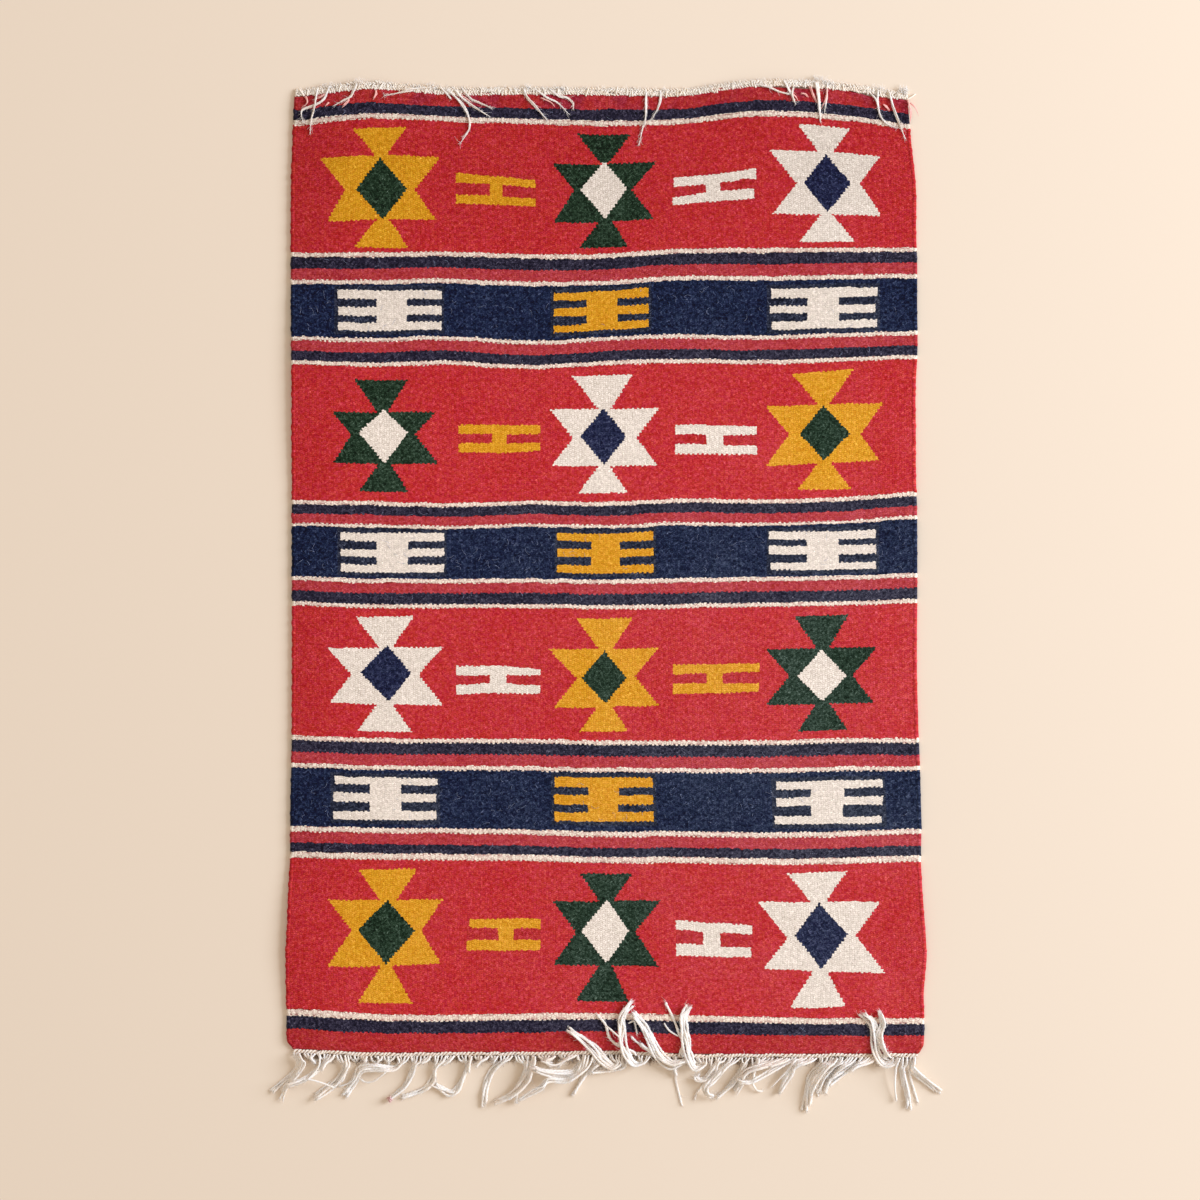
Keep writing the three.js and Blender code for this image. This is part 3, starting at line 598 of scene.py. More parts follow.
def new_piece(name, points, faces, material, smooth=True):
    """Puts points, in millimetres, and faces into a mesh object that stands at the origin."""
    mesh = bpy.data.meshes.new(name)
    mesh.from_pydata((np.asarray(points, float) * MM).tolist(), [], faces)
    mesh.polygons.foreach_set("use_smooth", np.full(len(mesh.polygons), smooth))
    mesh.materials.append(material)
    piece = bpy.data.objects.new(name, mesh)
    bpy.context.scene.collection.objects.link(piece)
    mesh.update()
    return piece


def at_corners(piece, vertex_values):
    """What stands at each vertex, repeated for every corner of every face."""
    corners = np.empty(len(piece.data.loops), dtype=np.int64)
    piece.data.loops.foreach_get("vertex_index", corners)
    return vertex_values[corners]


def add_uv(piece, name, corner_uv):
    """Gives a mesh a UV map from one pair of numbers at each corner of its faces."""
    layer = piece.data.uv_layers.new(name=name)
    layer.data.foreach_set("uv", corner_uv.astype(np.float32).ravel())


def add_values(piece, name, values, domain):
    """Writes one number on each point or face of a mesh, for its material to read."""
    attribute = piece.data.attributes.new(name, "FLOAT", domain)
    attribute.data.foreach_set("value", values.astype(np.float32))


def sweep(centres, radius, sides=8, lobes=0, lobe_depth=0.0, turn_length=1.0, flatness=1.0):
    """Carries a section along lines of points, many lines at once.

    centres is lines by steps by 3, and radius lines by steps. The section is a circle whose radius
    swells and shrinks with the cosine of so many lobes, turned further the more the line has run.
    Each line is closed at both ends by a point half a radius further on, and no point is lower than
    just above the floor. Gives points, quads, triangles, and at each point how deep it lies between
    two lobes, from 0 to 1.
    """
    centres = np.asarray(centres, float)
    lines, steps, _ = centres.shape
    ahead = np.gradient(centres, axis=1)
    ahead /= np.maximum(np.linalg.norm(ahead, axis=2, keepdims=True), 1e-9)
    across = np.cross(ahead, (0.0, 0.0, 1.0))
    across /= np.maximum(np.linalg.norm(across, axis=2, keepdims=True), 1e-9)
    above = np.cross(across, ahead)
    hops = np.linalg.norm(np.diff(centres, axis=1), axis=2)
    run = np.concatenate([np.zeros((lines, 1)), np.cumsum(hops, axis=1)], axis=1)
    around = np.arange(sides) * 2 * np.pi / sides
    wave = np.cos(lobes * (around - 2 * np.pi * run[:, :, None] / turn_length / max(lobes, 1) * 2))
    reach = radius[:, :, None] * (1 + lobe_depth * wave)
    ring = (centres[:, :, None, :]
            + (reach * np.cos(around))[..., None] * across[:, :, None, :]
            + (reach * np.sin(around) * flatness)[..., None] * above[:, :, None, :])
    first = centres[:, 0] - ahead[:, 0] * radius[:, :1] * 0.5
    last = centres[:, -1] + ahead[:, -1] * radius[:, -1:] * 0.5
    points = np.concatenate([ring.reshape(lines, -1, 3), first[:, None], last[:, None]], axis=1)
    per_line = steps * sides + 2
    j = np.arange(sides)
    following = (j + 1) % sides
    i = np.arange(steps - 1)[:, None] * sides
    quads = np.stack([i + j, i + sides + j, i + sides + following, i + following], axis=-1)
    start = np.stack([np.full(sides, steps * sides), j, following], axis=-1)
    foot = (steps - 1) * sides
    end = np.stack([np.full(sides, steps * sides + 1), foot + following, foot + j], axis=-1)
    shift = (np.arange(lines) * per_line)[:, None, None]
    quads = (quads.reshape(1, -1, 4) + shift).reshape(-1, 4)
    triangles = (np.concatenate([start, end])[None] + shift).reshape(-1, 3)
    crease = np.concatenate([((1 - wave) / 2).reshape(lines, -1), np.zeros((lines, 2))], axis=1)
    points = points.reshape(-1, 3)
    points[:, 2] = np.maximum(points[:, 2], JUST_ABOVE_FLOOR)
    return points, quads, triangles, crease.ravel()


def plied_piece(name, parts, material):
    """Puts swept parts together as one piece, which says at each vertex how deep it lies between
    two plies: 0 on a ply and 1 between them."""
    points, faces, creases = [], [], []
    count = 0
    for part_points, quads, triangles, crease in parts:
        points.append(part_points)
        faces += (quads + count).tolist() + (triangles + count).tolist()
        creases.append(crease)
        count += len(part_points)
    piece = new_piece(name, np.concatenate(points), faces, material)
    add_values(piece, "crease", np.concatenate(creases), "POINT")
    return piece


# Materials

# Numbers of a Mix node's sockets for colours, because its other sockets have the same names.
FIRST_COLOUR = 6
SECOND_COLOUR = 7
BLENDED_COLOUR = 2

# How the wool strays from its place on the loom, by small noise and by slow drifts: the noise's
# scale and detail, and its reach in millimetres across and along. Then how much of the place itself
# is mixed with the float's middle where the chart is read.
WOOLLY_SHIFT = (0.42, 1.5, (2.6, 1.7, 0))
WEFT_DRIFT = (0.05, 1.0, (1.0, 2.2, 0))
SOFT_ACROSS = 0.28
SOFT_ALONG = 0.3
SCREEN_GAMMA = 2.2


class Wiring:
    """A short way to write a node tree: sockets and plain numbers are fed alike."""

    def __init__(self, tree):
        self.tree = tree

    def feed(self, socket, value):
        """Links a socket or sets a plain value, and leaves the socket as it is for None."""
        if isinstance(value, bpy.types.NodeSocket):
            self.tree.links.new(value, socket)
        elif value is not None:
            socket.default_value = value

    def node(self, kind, inputs=None, **settings):
        """A new node with its inputs fed and its settings set."""
        made = self.tree.nodes.new(kind)
        count = len(self.tree.nodes)
        made.location = (count // 12 * 190, -(count % 12) * 170)
        for key, value in settings.items():
            setattr(made, key, value)
        for name, value in (inputs or {}).items():
            self.feed(made.inputs[name], value)
        return made

    def maths(self, operation, *values):
        """One sum on numbers."""
        made = self.node("ShaderNodeMath", operation=operation)
        for socket, value in zip(made.inputs, values):
            self.feed(socket, value)
        return made.outputs[0]

    def plus(self, first, second):
        return self.maths("ADD", first, second)

    def minus(self, first, second):
        return self.maths("SUBTRACT", first, second)

    def times(self, first, second):
        return self.maths("MULTIPLY", first, second)

    def vector(self, operation, *values, scale=None):
        """One sum on vectors or colours."""
        made = self.node("ShaderNodeVectorMath", operation=operation)
        for socket, value in zip(made.inputs, values):
            self.feed(socket, value)
        if scale is not None:
            self.feed(made.inputs["Scale"], scale)
        return made.outputs["Vector"]

    def noise(self, place, scale, detail=2.0, roughness=0.5, colour=False):
        """Cloudy noise, as a number or as three independent ones in a colour."""
        made = self.node("ShaderNodeTexNoise", {
            "Vector": place, "Scale": scale, "Detail": detail, "Roughness": roughness})
        return made.outputs["Color" if colour else "Fac"]

    def blend(self, factor, first, second):
        """The first colour where the factor is 0 and the second where it is 1."""
        made = self.node("ShaderNodeMix", data_type="RGBA")
        self.feed(made.inputs["Factor"], factor)
        for number, value in ((FIRST_COLOUR, first), (SECOND_COLOUR, second)):
            self.feed(made.inputs[number], (*value, 1.0) if isinstance(value, tuple) else value)
        return made.outputs[BLENDED_COLOUR]

    def attribute(self, name):
        """What the mesh carries under a name, as the node's outputs."""
        return self.node("ShaderNodeAttribute", attribute_name=name).outputs

    def channels(self, colour):
        """The red, green and blue of a colour."""
        return self.node("ShaderNodeSeparateColor", {"Color": colour}).outputs

    def three(self, x, y, z):
        """A vector or colour from three numbers."""
        return self.node("ShaderNodeCombineXYZ", {"X": x, "Y": y, "Z": z}).outputs[0]

    def spread(self, value, low, high, to_low=0.0, to_high=1.0):
        """Moves a number from one range to another and stops at its ends."""
        made = self.node("ShaderNodeMapRange", {
            "Value": value, "From Min": low, "From Max": high, "To Min": to_low, "To Max": to_high})
        return made.outputs["Result"]


def new_material(name):
    """An empty material and the wiring of its nodes."""
    material = bpy.data.materials.new(name)
    material.use_nodes = True
    material.node_tree.nodes.clear()
    return material, Wiring(material.node_tree)


def finish_wool(w, colour, height, distance, roughness, sheen, let_through=0.0):
    """Ends a wool material: matt, with a little sheen, and a bump of the given depth in metres.
    let_through says how much of the light passes through the outer fibres before it comes back."""
    bump = w.node("ShaderNodeBump", {"Height": height, "Distance": distance, "Strength": 1.0})
    shader = w.node("ShaderNodeBsdfPrincipled", {
        "Base Color": colour, "Roughness": roughness, "Specular IOR Level": 0.2,
        "Sheen Weight": sheen, "Sheen Roughness": 0.5, "Normal": bump.outputs["Normal"],
        "Subsurface Weight": let_through, "Subsurface Radius": (1.0, 0.9, 0.8),
        "Subsurface Scale": 1.6 * MM})
    output = w.node("ShaderNodeOutputMaterial")
    w.tree.links.new(shader.outputs["BSDF"], output.inputs["Surface"])


def patch_group():
    """A group that says how far inside a four-edged patch a place is, in millimetres.

    An upper or lower edge is the line y = a + b x and comes as (a, b) of the upper and then of the
    lower one. A side is the line x = a + b y and comes as (a, b) of the left and the right one. The
    result is the least of the four distances, so it is above zero inside.
    """
    tree = bpy.data.node_groups.new("woven patch", "ShaderNodeTree")
    for name in ("x", "y", "upper a", "upper b", "lower a", "lower b",
                 "left a", "left b", "right a", "right b"):
        tree.interface.new_socket(name, in_out="INPUT", socket_type="NodeSocketFloat")
    tree.interface.new_socket("inside", in_out="OUTPUT", socket_type="NodeSocketFloat")
    w = Wiring(tree)
    given = w.node("NodeGroupInput").outputs
    x, y = given["x"], given["y"]
    upper = w.maths("MULTIPLY_ADD", given["upper b"], x, given["upper a"])
    lower = w.maths("MULTIPLY_ADD", given["lower b"], x, given["lower a"])
    left = w.maths("MULTIPLY_ADD", given["left b"], y, given["left a"])
    right = w.maths("MULTIPLY_ADD", given["right b"], y, given["right a"])
    tall = w.maths("MINIMUM", w.minus(upper, y), w.minus(y, lower))
    wide = w.maths("MINIMUM", w.minus(x, left), w.minus(right, x))
    result = w.node("NodeGroupOutput")
    w.feed(result.inputs["inside"], w.maths("MINIMUM", tall, wide))
    return tree


def weave_floats(w, settings):
    """Where the wool lies, and which float of weft a place is on: its column and row, its middle as
    the chart reads it, and how near its rim the place is, from 0 to 1.

    The loom place is shifted by small woolly noise and by slow drifts of the weft lines. Columns are
    one warp wide and stagger by part of a row, each by its own chance.
    """
    warp_pitch = settings.warp_pitch / MM
    weft_pitch = settings.weft_pitch / MM
    loom = w.node("ShaderNodeUVMap", uv_map="Loom").outputs["UV"]
    place = w.vector("SCALE", loom, scale=1 / MM)
    moved = place
    for scale, detail, reach in (WOOLLY_SHIFT, WEFT_DRIFT):
        noise = w.noise(place, scale, detail=detail, colour=True)
        shift = w.vector("MULTIPLY", w.vector("SUBTRACT", noise, (0.5, 0.5, 0.5)), reach)
        moved = w.vector("ADD", moved, shift)
    parts = w.node("ShaderNodeSeparateXYZ", {"Vector": moved}).outputs
    across = w.maths("DIVIDE", parts["X"], warp_pitch)
    column = w.maths("FLOOR", across)
    odd = w.maths("FLOORED_MODULO", column, 2.0)
    lot = w.node("ShaderNodeTexWhiteNoise", {"W": column}, noise_dimensions="1D").outputs["Value"]
    offset = w.maths("MULTIPLY_ADD", odd, 0.35, w.times(lot, 0.3))
    up = w.plus(offset, w.maths("DIVIDE", parts["Y"], weft_pitch))
    row = w.maths("FLOOR", up)
    middle_x = w.times(w.plus(column, 0.5), warp_pitch)
    middle_x = w.maths("MULTIPLY_ADD", middle_x, 1 - SOFT_ACROSS, w.times(parts["X"], SOFT_ACROSS))
    middle_row = w.minus(w.plus(row, 0.5), offset)
    middle_y = w.times(w.times(middle_row, weft_pitch), 1 - SOFT_ALONG)
    middle_y = w.plus(middle_y, w.times(parts["Y"], SOFT_ALONG))
    wide = w.maths("ABSOLUTE", w.minus(w.maths("FRACT", across), 0.5))
    wide = w.maths("POWER", w.times(wide, 2.0), 3.0)
    tall = w.maths("ABSOLUTE", w.minus(w.maths("FRACT", up), 0.5))
    tall = w.maths("POWER", w.times(tall, 2.0), 3.0)
    rim = w.maths("MAXIMUM", w.times(wide, 0.6), tall)
    return place, moved, column, row, middle_x, middle_y, rim


def charted_colour(w, settings, middle_x, middle_y):
    """The chart's wool at the middle of a float: the stripes, one below the other, and over them the
    motifs, from the patches that each face of the cloth carries."""
    dyes = {
        "red": settings.red, "end red": settings.end_red, "stripe red": settings.stripe_red,
        "navy": settings.navy, "blue": settings.blue, "cream": settings.line_cream,
    }
    colour = w.node("ShaderNodeRGB").outputs[0]
    colour.default_value = (*dyes[STRIPES[0][1]], 1)
    for begins, wool in STRIPES[1:]:
        below = w.maths("LESS_THAN", middle_y, begins)
        colour = w.blend(below, colour, tuple(dyes[wool]))
    group = patch_group()

    def inside(which):
        """How far inside one of the patches the float's middle is."""
        patch = w.node("ShaderNodeGroup")
        patch.node_tree = group
        w.feed(patch.inputs["x"], middle_x)
        w.feed(patch.inputs["y"], middle_y)
        for kind, names in (("rises", ("upper a", "upper b", "lower a", "lower b")),
                            ("sides", ("left a", "left b", "right a", "right b"))):
            lines = w.attribute(f"patch {which} {kind}")
            for name, socket in zip(names, (*w.channels(lines["Color"]), lines["Alpha"])):
                w.feed(patch.inputs[name], socket)
        return patch.outputs["inside"]

    most = inside(0)
    for number in range(1, PATCHES):
        most = w.maths("MAXIMUM", most, inside(number))
    for depth, name in ((inside("near"), "near dye"), (most, "motif dye"),
                        (inside("heart"), "heart dye")):
        colour = w.blend(w.maths("GREATER_THAN", depth, 0.0), colour, w.attribute(name)["Color"])
    return colour


def stains_and_painted_light(w, settings, colour, place, middle_y, cloud):
    """The wool after years of use, with painted light over it. The upper end's red is stained here
    and there. A pale painted sheen, standing in for light from the right, lies over all, more of it to
    the right and below the uppermost field, and less of it in the outermost stripes of the lower end.
    All of it has painted shade, a little darker at the upper end and along the left side."""
    stained = w.spread(w.noise(place, 0.03, detail=2.0), 0.5, 0.62, 0.0, 0.6)
    stained = w.times(stained, w.maths("GREATER_THAN", middle_y, STRIPES[1][0]))
    colour = w.blend(stained, colour, tuple(settings.stain))
    parts = w.node("ShaderNodeSeparateXYZ", {"Vector": place}).outputs
    # Painted sheen: a pale haze that stands in for the light from the right.
    to_right = w.spread(parts["X"], -300, 120, 0.003, 0.014)
    from_top = w.spread(parts["Y"], 400, -60, 0.05, 1.05)
    # Painted shade: darker towards the upper end and along the left side.
    painted_shade = w.times(w.spread(parts["Y"], 400, 120, 0.92, 1.08),
                   w.spread(parts["X"], -300, -230, 0.88, 1.0))
    at_end = w.spread(parts["Y"], -438, -405, 0.4, 1.0)
    painted_sheen = w.times(w.times(to_right, from_top), at_end)
    painted_sheen = w.times(painted_sheen, w.spread(cloud, 0.3, 0.7, 0.6, 1.4))
    left_over = w.vector("SCALE", colour, scale=w.minus(1.0, painted_sheen))
    painted_sheen_tint = w.three(w.times(painted_sheen, 0.8), painted_sheen, w.times(painted_sheen, 1.1))
    return w.vector("SCALE", w.vector("ADD", left_over, painted_sheen_tint), scale=painted_shade)


def wool_tone(w, moved, chance, grain, cloud, rim):
    """How much lighter or darker a place is than its dye, in steps as the eye sees them: the sum of
    each float's own chance, the grain, streaks, wide clouds, pale fibres that lean either way, and
    the painted shade of the crease round each float, which is deeper in some places."""
    tone = w.spread(chance, 0, 1, -0.055, 0.055)
    tone = w.plus(tone, w.spread(grain, 0.3, 0.7, -0.075, 0.075))
    streak = w.noise(w.vector("MULTIPLY", moved, (0.05, 0.55, 0)), 1.0, detail=2.0)
    tone = w.plus(tone, w.spread(streak, 0.3, 0.7, -0.018, 0.018))
    tone = w.plus(tone, w.spread(cloud, 0.3, 0.7, -0.012, 0.012))
    for number, turn in enumerate((1.05, -0.75)):
        lean = w.node("ShaderNodeMapping", {"Vector": moved, "Rotation": (0, 0, turn),
                                            "Location": (0, 0, 5.0 * number)})
        hair = w.noise(w.vector("MULTIPLY", lean.outputs["Vector"], (0.16, 1.1, 1.0)), 1.0,
                       detail=1.0)
        tone = w.plus(tone, w.times(w.spread(hair, 0.58, 0.8), 0.19))
    # Painted shade in the crease round each float, deeper in some places.
    crease_shade = w.spread(w.noise(moved, 0.33, detail=2.0), 0.42, 0.66, 0.02, 0.13)
    return w.minus(tone, w.times(rim, crease_shade))


def painted_notch_shade(w, moved):
    """Painted shade in the dark notches between the plump floats of a cream line: the borders of
    stretched cells, deeper towards the line's own border."""
    line = w.attribute("cream line")["Fac"]
    border = w.attribute("line border")["Fac"]
    beads = w.node("ShaderNodeTexVoronoi", {
        "Vector": w.vector("MULTIPLY", moved, (0.3, 0.17, 0)), "Scale": 1.0, "Randomness": 0.85},
        feature="DISTANCE_TO_EDGE").outputs["Distance"]
    # Painted shade in the notches, deeper towards the line's border.
    notch_shade = w.times(w.spread(beads, 0.0, 0.13, 1.0, 0.0), line)
    notch_shade = w.times(notch_shade, w.maths("MULTIPLY_ADD", border, 0.8, 0.2))
    return w.vector("SCALE", (0.43, 0.64, 0.57), scale=notch_shade)


def wool_material(name, settings):
    """The weft-faced weave. Every float of weft has one colour, that of the chart at its middle,
    stained, with painted sheen and painted shade, and toned, and a relief of rounded floats with fibres
    on them."""
    material, w = new_material(name)
    place, moved, column, row, middle_x, middle_y, rim = weave_floats(w, settings)
    cloud = w.noise(place, 0.014, detail=3.0, roughness=0.6)
    grain = w.noise(moved, 0.42, detail=2.5, roughness=0.65)
    chance = w.node("ShaderNodeTexWhiteNoise", {"Vector": w.three(column, row, 0.0)},
                    noise_dimensions="2D")
    chance = w.channels(chance.outputs["Color"])
    colour = charted_colour(w, settings, middle_x, middle_y)
    # Stains, then painted sheen and painted shade over the charted wool.
    colour = stains_and_painted_light(w, settings, colour, place, middle_y, cloud)

    # The tone is added to the colour as it is seen, and less of it the brighter its red is
    seen = w.node("ShaderNodeGamma", {"Color": colour, "Gamma": 1 / SCREEN_GAMMA}).outputs["Color"]
    tone = wool_tone(w, moved, chance[0], grain, cloud, rim)
    tone = w.times(tone, w.maths("MULTIPLY_ADD", w.channels(seen)["Red"], -0.5, 1.2))
    # The notches between a cream line's floats are subtracted as painted shade.
    seen = w.vector("SUBTRACT", w.vector("ADD", seen, w.three(tone, tone, tone)),
                    painted_notch_shade(w, moved))
    seen = w.vector("MAXIMUM", seen, (0.02, 0.02, 0.02))
    colour = w.node("ShaderNodeGamma", {"Color": seen, "Gamma": SCREEN_GAMMA}).outputs["Color"]
    shade = w.node("ShaderNodeHueSaturation", {
        "Hue": w.spread(chance[1], 0, 1, 0.495, 0.505), "Color": colour})
    dome = w.minus(1.0, w.times(rim, 0.8))
    height = w.plus(dome, w.times(grain, 2.0))
    finish_wool(w, shade.outputs["Color"], height, 0.4 * MM, roughness=0.95, sheen=0.02)
    return material


def warp_material(name, colour, soil):
    """Undyed plied yarn: off-white, with painted shade in the crease between its plies by the
    crease's square, warmer in some places and with brownish specks where it is soiled."""
    material, w = new_material(name)
    place = w.node("ShaderNodeTexCoord").outputs["Object"]
    crease = w.attribute("crease")["Fac"]
    cloud = w.noise(place, 90, detail=3.0, roughness=0.7)
    grain = w.noise(place, 900, detail=2.0, roughness=0.7)
    warm = w.spread(w.noise(place, 45, detail=3.0), 0.45, 0.65, 0.0, 0.8)
    shade = w.blend(warm, tuple(colour), tuple(np.array(colour) * (0.97, 0.9, 0.83)))
    specks = w.spread(w.noise(place, 520, detail=2.0, roughness=0.6), 0.56, 0.72, 0.0, soil)
    shade = w.blend(specks, shade, tuple(np.array(colour) * (0.45, 0.36, 0.28)))
    # Painted shade: warmer and darker in the crease between plies and where a strand dips under
    # another.
    between = w.times(w.maths("POWER", crease, 2.0), 0.28)
    shade = w.blend(between, shade, tuple(np.array(colour) * (0.62, 0.5, 0.42)))
    tone = w.plus(w.spread(cloud, 0.3, 0.7, 0.95, 1.03), w.spread(grain, 0.3, 0.7, -0.05, 0.05))
    shade = w.vector("SCALE", shade, scale=tone)
    finish_wool(w, shade, grain, 0.12 * MM, roughness=0.85, sheen=0.1, let_through=0.45)
    return material


def plain_wool_material(name, colour):
    """A little wool of one colour, for single fibres and the small knot."""
    material, w = new_material(name)
    place = w.node("ShaderNodeTexCoord").outputs["Object"]
    grain = w.noise(place, 700, detail=2.0)
    shade = w.vector("SCALE", tuple(colour), scale=w.spread(grain, 0.3, 0.7, 0.85, 1.1))
    finish_wool(w, shade, grain, 0.1 * MM, roughness=0.9, sheen=0.2)
    return material


def floor_material(name, colour):
    """The floor: plain and matt."""
    material, w = new_material(name)
    shader = w.node("ShaderNodeBsdfPrincipled", {
        "Base Color": (*colour, 1.0), "Roughness": 0.9, "Specular IOR Level": 0.1})
    output = w.node("ShaderNodeOutputMaterial")
    w.tree.links.new(shader.outputs["BSDF"], output.inputs["Surface"])
    return material


def shared_material(name, make, *values, **named):
    """A material is made once, and found again by the next operator that needs it."""
    return bpy.data.materials.get(name) or make(name, *values, **named)


# The cloth

CLOTH_COLUMNS = 188
WIDEST_ROW = 5.0
LINE_ROWS = (0, 0.15, 0.36, 0.64, 0.85)
CREAM_PLUMPNESS = 0.45
RIM = 2.2
RIM_STEPS = (0.0, 0.35, 1.1)
RELIEF_FROM = 6
PUCKERS = 14
PUCKER_HEIGHT = 0.22
UNDERSIDE_RELIEF = 0.1
SELVEDGE_INSET = 2.4
SELVEDGE_RADIUS = 2.3
SELVEDGE_HEIGHT = 2.15
SELVEDGE_SIDES = 10
SELVEDGE_SIDE_WIDTH = 0.7
SELVEDGE_STEPS = 640


def stripe_edges():
    """Every stripe with its wool, its upper edge and its lower edge."""
    tops = [begins for begins, _ in STRIPES] + [-HALF_LENGTH]
    return [(wool, tops[k], tops[k + 1]) for k, (_, wool) in enumerate(STRIPES)]


def cloth_rows():
    """Loom heights of the grid: five rows in a cream line, wider ones elsewhere, the rim's own."""
    rows = [-HALF_LENGTH + step for step in RIM_STEPS] + [HALF_LENGTH - step for step in RIM_STEPS]
    for wool, top, bottom in stripe_edges():
        if wool == "cream":
            rows += [top - part * (top - bottom) for part in LINE_ROWS]
        else:
            count = int(np.ceil((top - bottom) / WIDEST_ROW))
            rows += [top - part * (top - bottom) / count for part in range(count)]
    rows = np.unique(np.round(np.array(rows), 3))
    from_end = HALF_LENGTH - np.abs(rows)
    on_rim = np.isin(np.round(from_end, 3), RIM_STEPS)
    return rows[on_rim | (from_end > RIM_STEPS[-1] + 0.5)]


def cloth_columns():
    """Loom places across: even, but for the rounded rims."""
    inner = np.linspace(-HALF_WIDTH + RIM, HALF_WIDTH - RIM, CLOTH_COLUMNS)
    rims = np.array(RIM_STEPS)
    return np.concatenate([-HALF_WIDTH + rims, inner, HALF_WIDTH - rims[::-1]])


def puckering(x, y):
    """The cloth's unevenness: a sum of slow sine waves, whose lengths and directions are drawn by
    chance and whose heights grow with their lengths."""
    chance = np.random.default_rng(seed=7)
    total = np.zeros_like(x)
    for _ in range(PUCKERS):
        length = chance.uniform(22, 90)
        heading = chance.uniform(0, np.pi)
        turn = chance.uniform(0, 2 * np.pi)
        wave = (x * np.cos(heading) + y * np.sin(heading)) * 2 * np.pi / length + turn
        total += np.sin(wave) * length / 90
    return total / np.sqrt(PUCKERS)


def part_of_line(loom_y):
    """How far a place is from the middle of the nearest cream line: 1 on the line's border."""
    part = np.full_like(loom_y, np.inf)
    for wool, top, bottom in stripe_edges():
        if wool == "cream":
            part = np.minimum(part, np.abs(loom_y - (top + bottom) / 2) / ((top - bottom) / 2))
    return part


def line_plumpness(loom_y):
    """How far a cream line stands up: a parabola across each line, highest at its middle."""
    return CREAM_PLUMPNESS * np.maximum(0, 1 - part_of_line(loom_y) ** 2)


def line_border(loom_y):
    """How near a cream line's border a place is: the square of its distance from the line's middle,
    which is 1 on the border, and 0 outside the line."""
    part = part_of_line(loom_y)
    return np.where(part < 1.001, part ** 2, 0)


def patch_lines(corners):
    """A patch's four edges as lines: y = a + b x above and below, x = a + b y left and right."""
    upper_left, upper_right, lower_right, lower_left = zip(corners[::2], corners[1::2])

    def level(start, end):
        """The line y = a + b x through two points, as (a, b)."""
        b = (end[1] - start[1]) / (end[0] - start[0])
        return start[1] - b * start[0], b

    def upright(start, end):
        """The line x = a + b y through two points, as (a, b)."""
        b = (end[0] - start[0]) / (end[1] - start[1])
        return start[0] - b * start[1], b

    rises = (*level(upper_left, upper_right), *level(lower_left, lower_right))
    sides = (*upright(upper_left, lower_left), *upright(upper_right, lower_right))
    return rises, sides


def chart_attributes(settings):
    """The motifs' boxes, and for each motif, and last for bare cloth, what its faces carry: the
    lines of its patches and its dyes."""
    near_dyes = {"comb": settings.comb_navy, "bridge": settings.slot_red, "star": (0, 0, 0)}
    # A patch that holds no place: its upper edge lies far below its lower one
    nowhere = ((-9999, 0, 9999, 0), (9999, 0, -9999, 0))
    names = [str(number) for number in range(PATCHES)] + ["heart", "near"]
    table = {f"patch {name} {kind}": [] for name in names for kind in ("rises", "sides")}
    table.update({"near dye": [], "motif dye": [], "heart dye": []})
    boxes = []
    for kind, wool, *patches in MOTIFS:
        heart = None
        if kind == "star":
            upper, body, lower, heart = patches
            waist = body[6:8] + body[4:6]
            patches = [upper, body[:8], waist + body[8:], lower]
        corners = np.array(patches).reshape(-1, 2)
        low, high = corners.min(axis=0), corners.max(axis=0)
        boxes.append((*low, *high))
        left, bottom = low - GROUND_REACH[kind]
        right, top = high + GROUND_REACH[kind]
        lines = {str(k): patch_lines(patch) for k, patch in enumerate(patches)}
        if heart:
            lines["heart"] = patch_lines(heart)
            (top_a, top_b, bottom_a, bottom_b), sides = lines["0"]
            lines["0"] = (top_a, top_b, bottom_a - STAR_OVERLAP, bottom_b), sides
            (top_a, top_b, bottom_a, bottom_b), sides = lines["3"]
            lines["3"] = (top_a + STAR_OVERLAP, top_b, bottom_a, bottom_b), sides
        if kind != "star":
            lines["near"] = ((top, 0, bottom, 0), (left, 0, right, 0))
        for name in names:
            rises, sides = lines.get(name, nowhere)
            table[f"patch {name} rises"].append(rises)
            table[f"patch {name} sides"].append(sides)
        table["near dye"].append((*near_dyes[kind], 1))
        for name, dyed in (("motif dye", wool), ("heart dye", HEARTS[wool] if heart else wool)):
            table[name].append((*getattr(settings, dyed.replace(" ", "_")), 1))
    for name, rows in table.items():
        if name.endswith("dye"):
            rows.append((0, 0, 0, 1))
        else:
            rows.append(nowhere[0] if name.endswith("rises") else nowhere[1])
    return boxes, table


def chart_faces(piece, middle_x, middle_y, settings):
    """Writes on each face the chart of the motif whose box, grown a little, holds its middle."""
    boxes, table = chart_attributes(settings)
    motif = np.full(len(middle_x), len(boxes))
    for number, (left, bottom, right, top) in enumerate(boxes):
        held = ((middle_x > left - CHART_MARGIN) & (middle_x < right + CHART_MARGIN)
                & (middle_y > bottom - CHART_MARGIN) & (middle_y < top + CHART_MARGIN))
        motif[held] = number
    for name, rows in table.items():
        attribute = piece.data.attributes.new(name, "FLOAT_COLOR", "FACE")
        attribute.data.foreach_set("color", np.array(rows, np.float32)[motif].ravel())


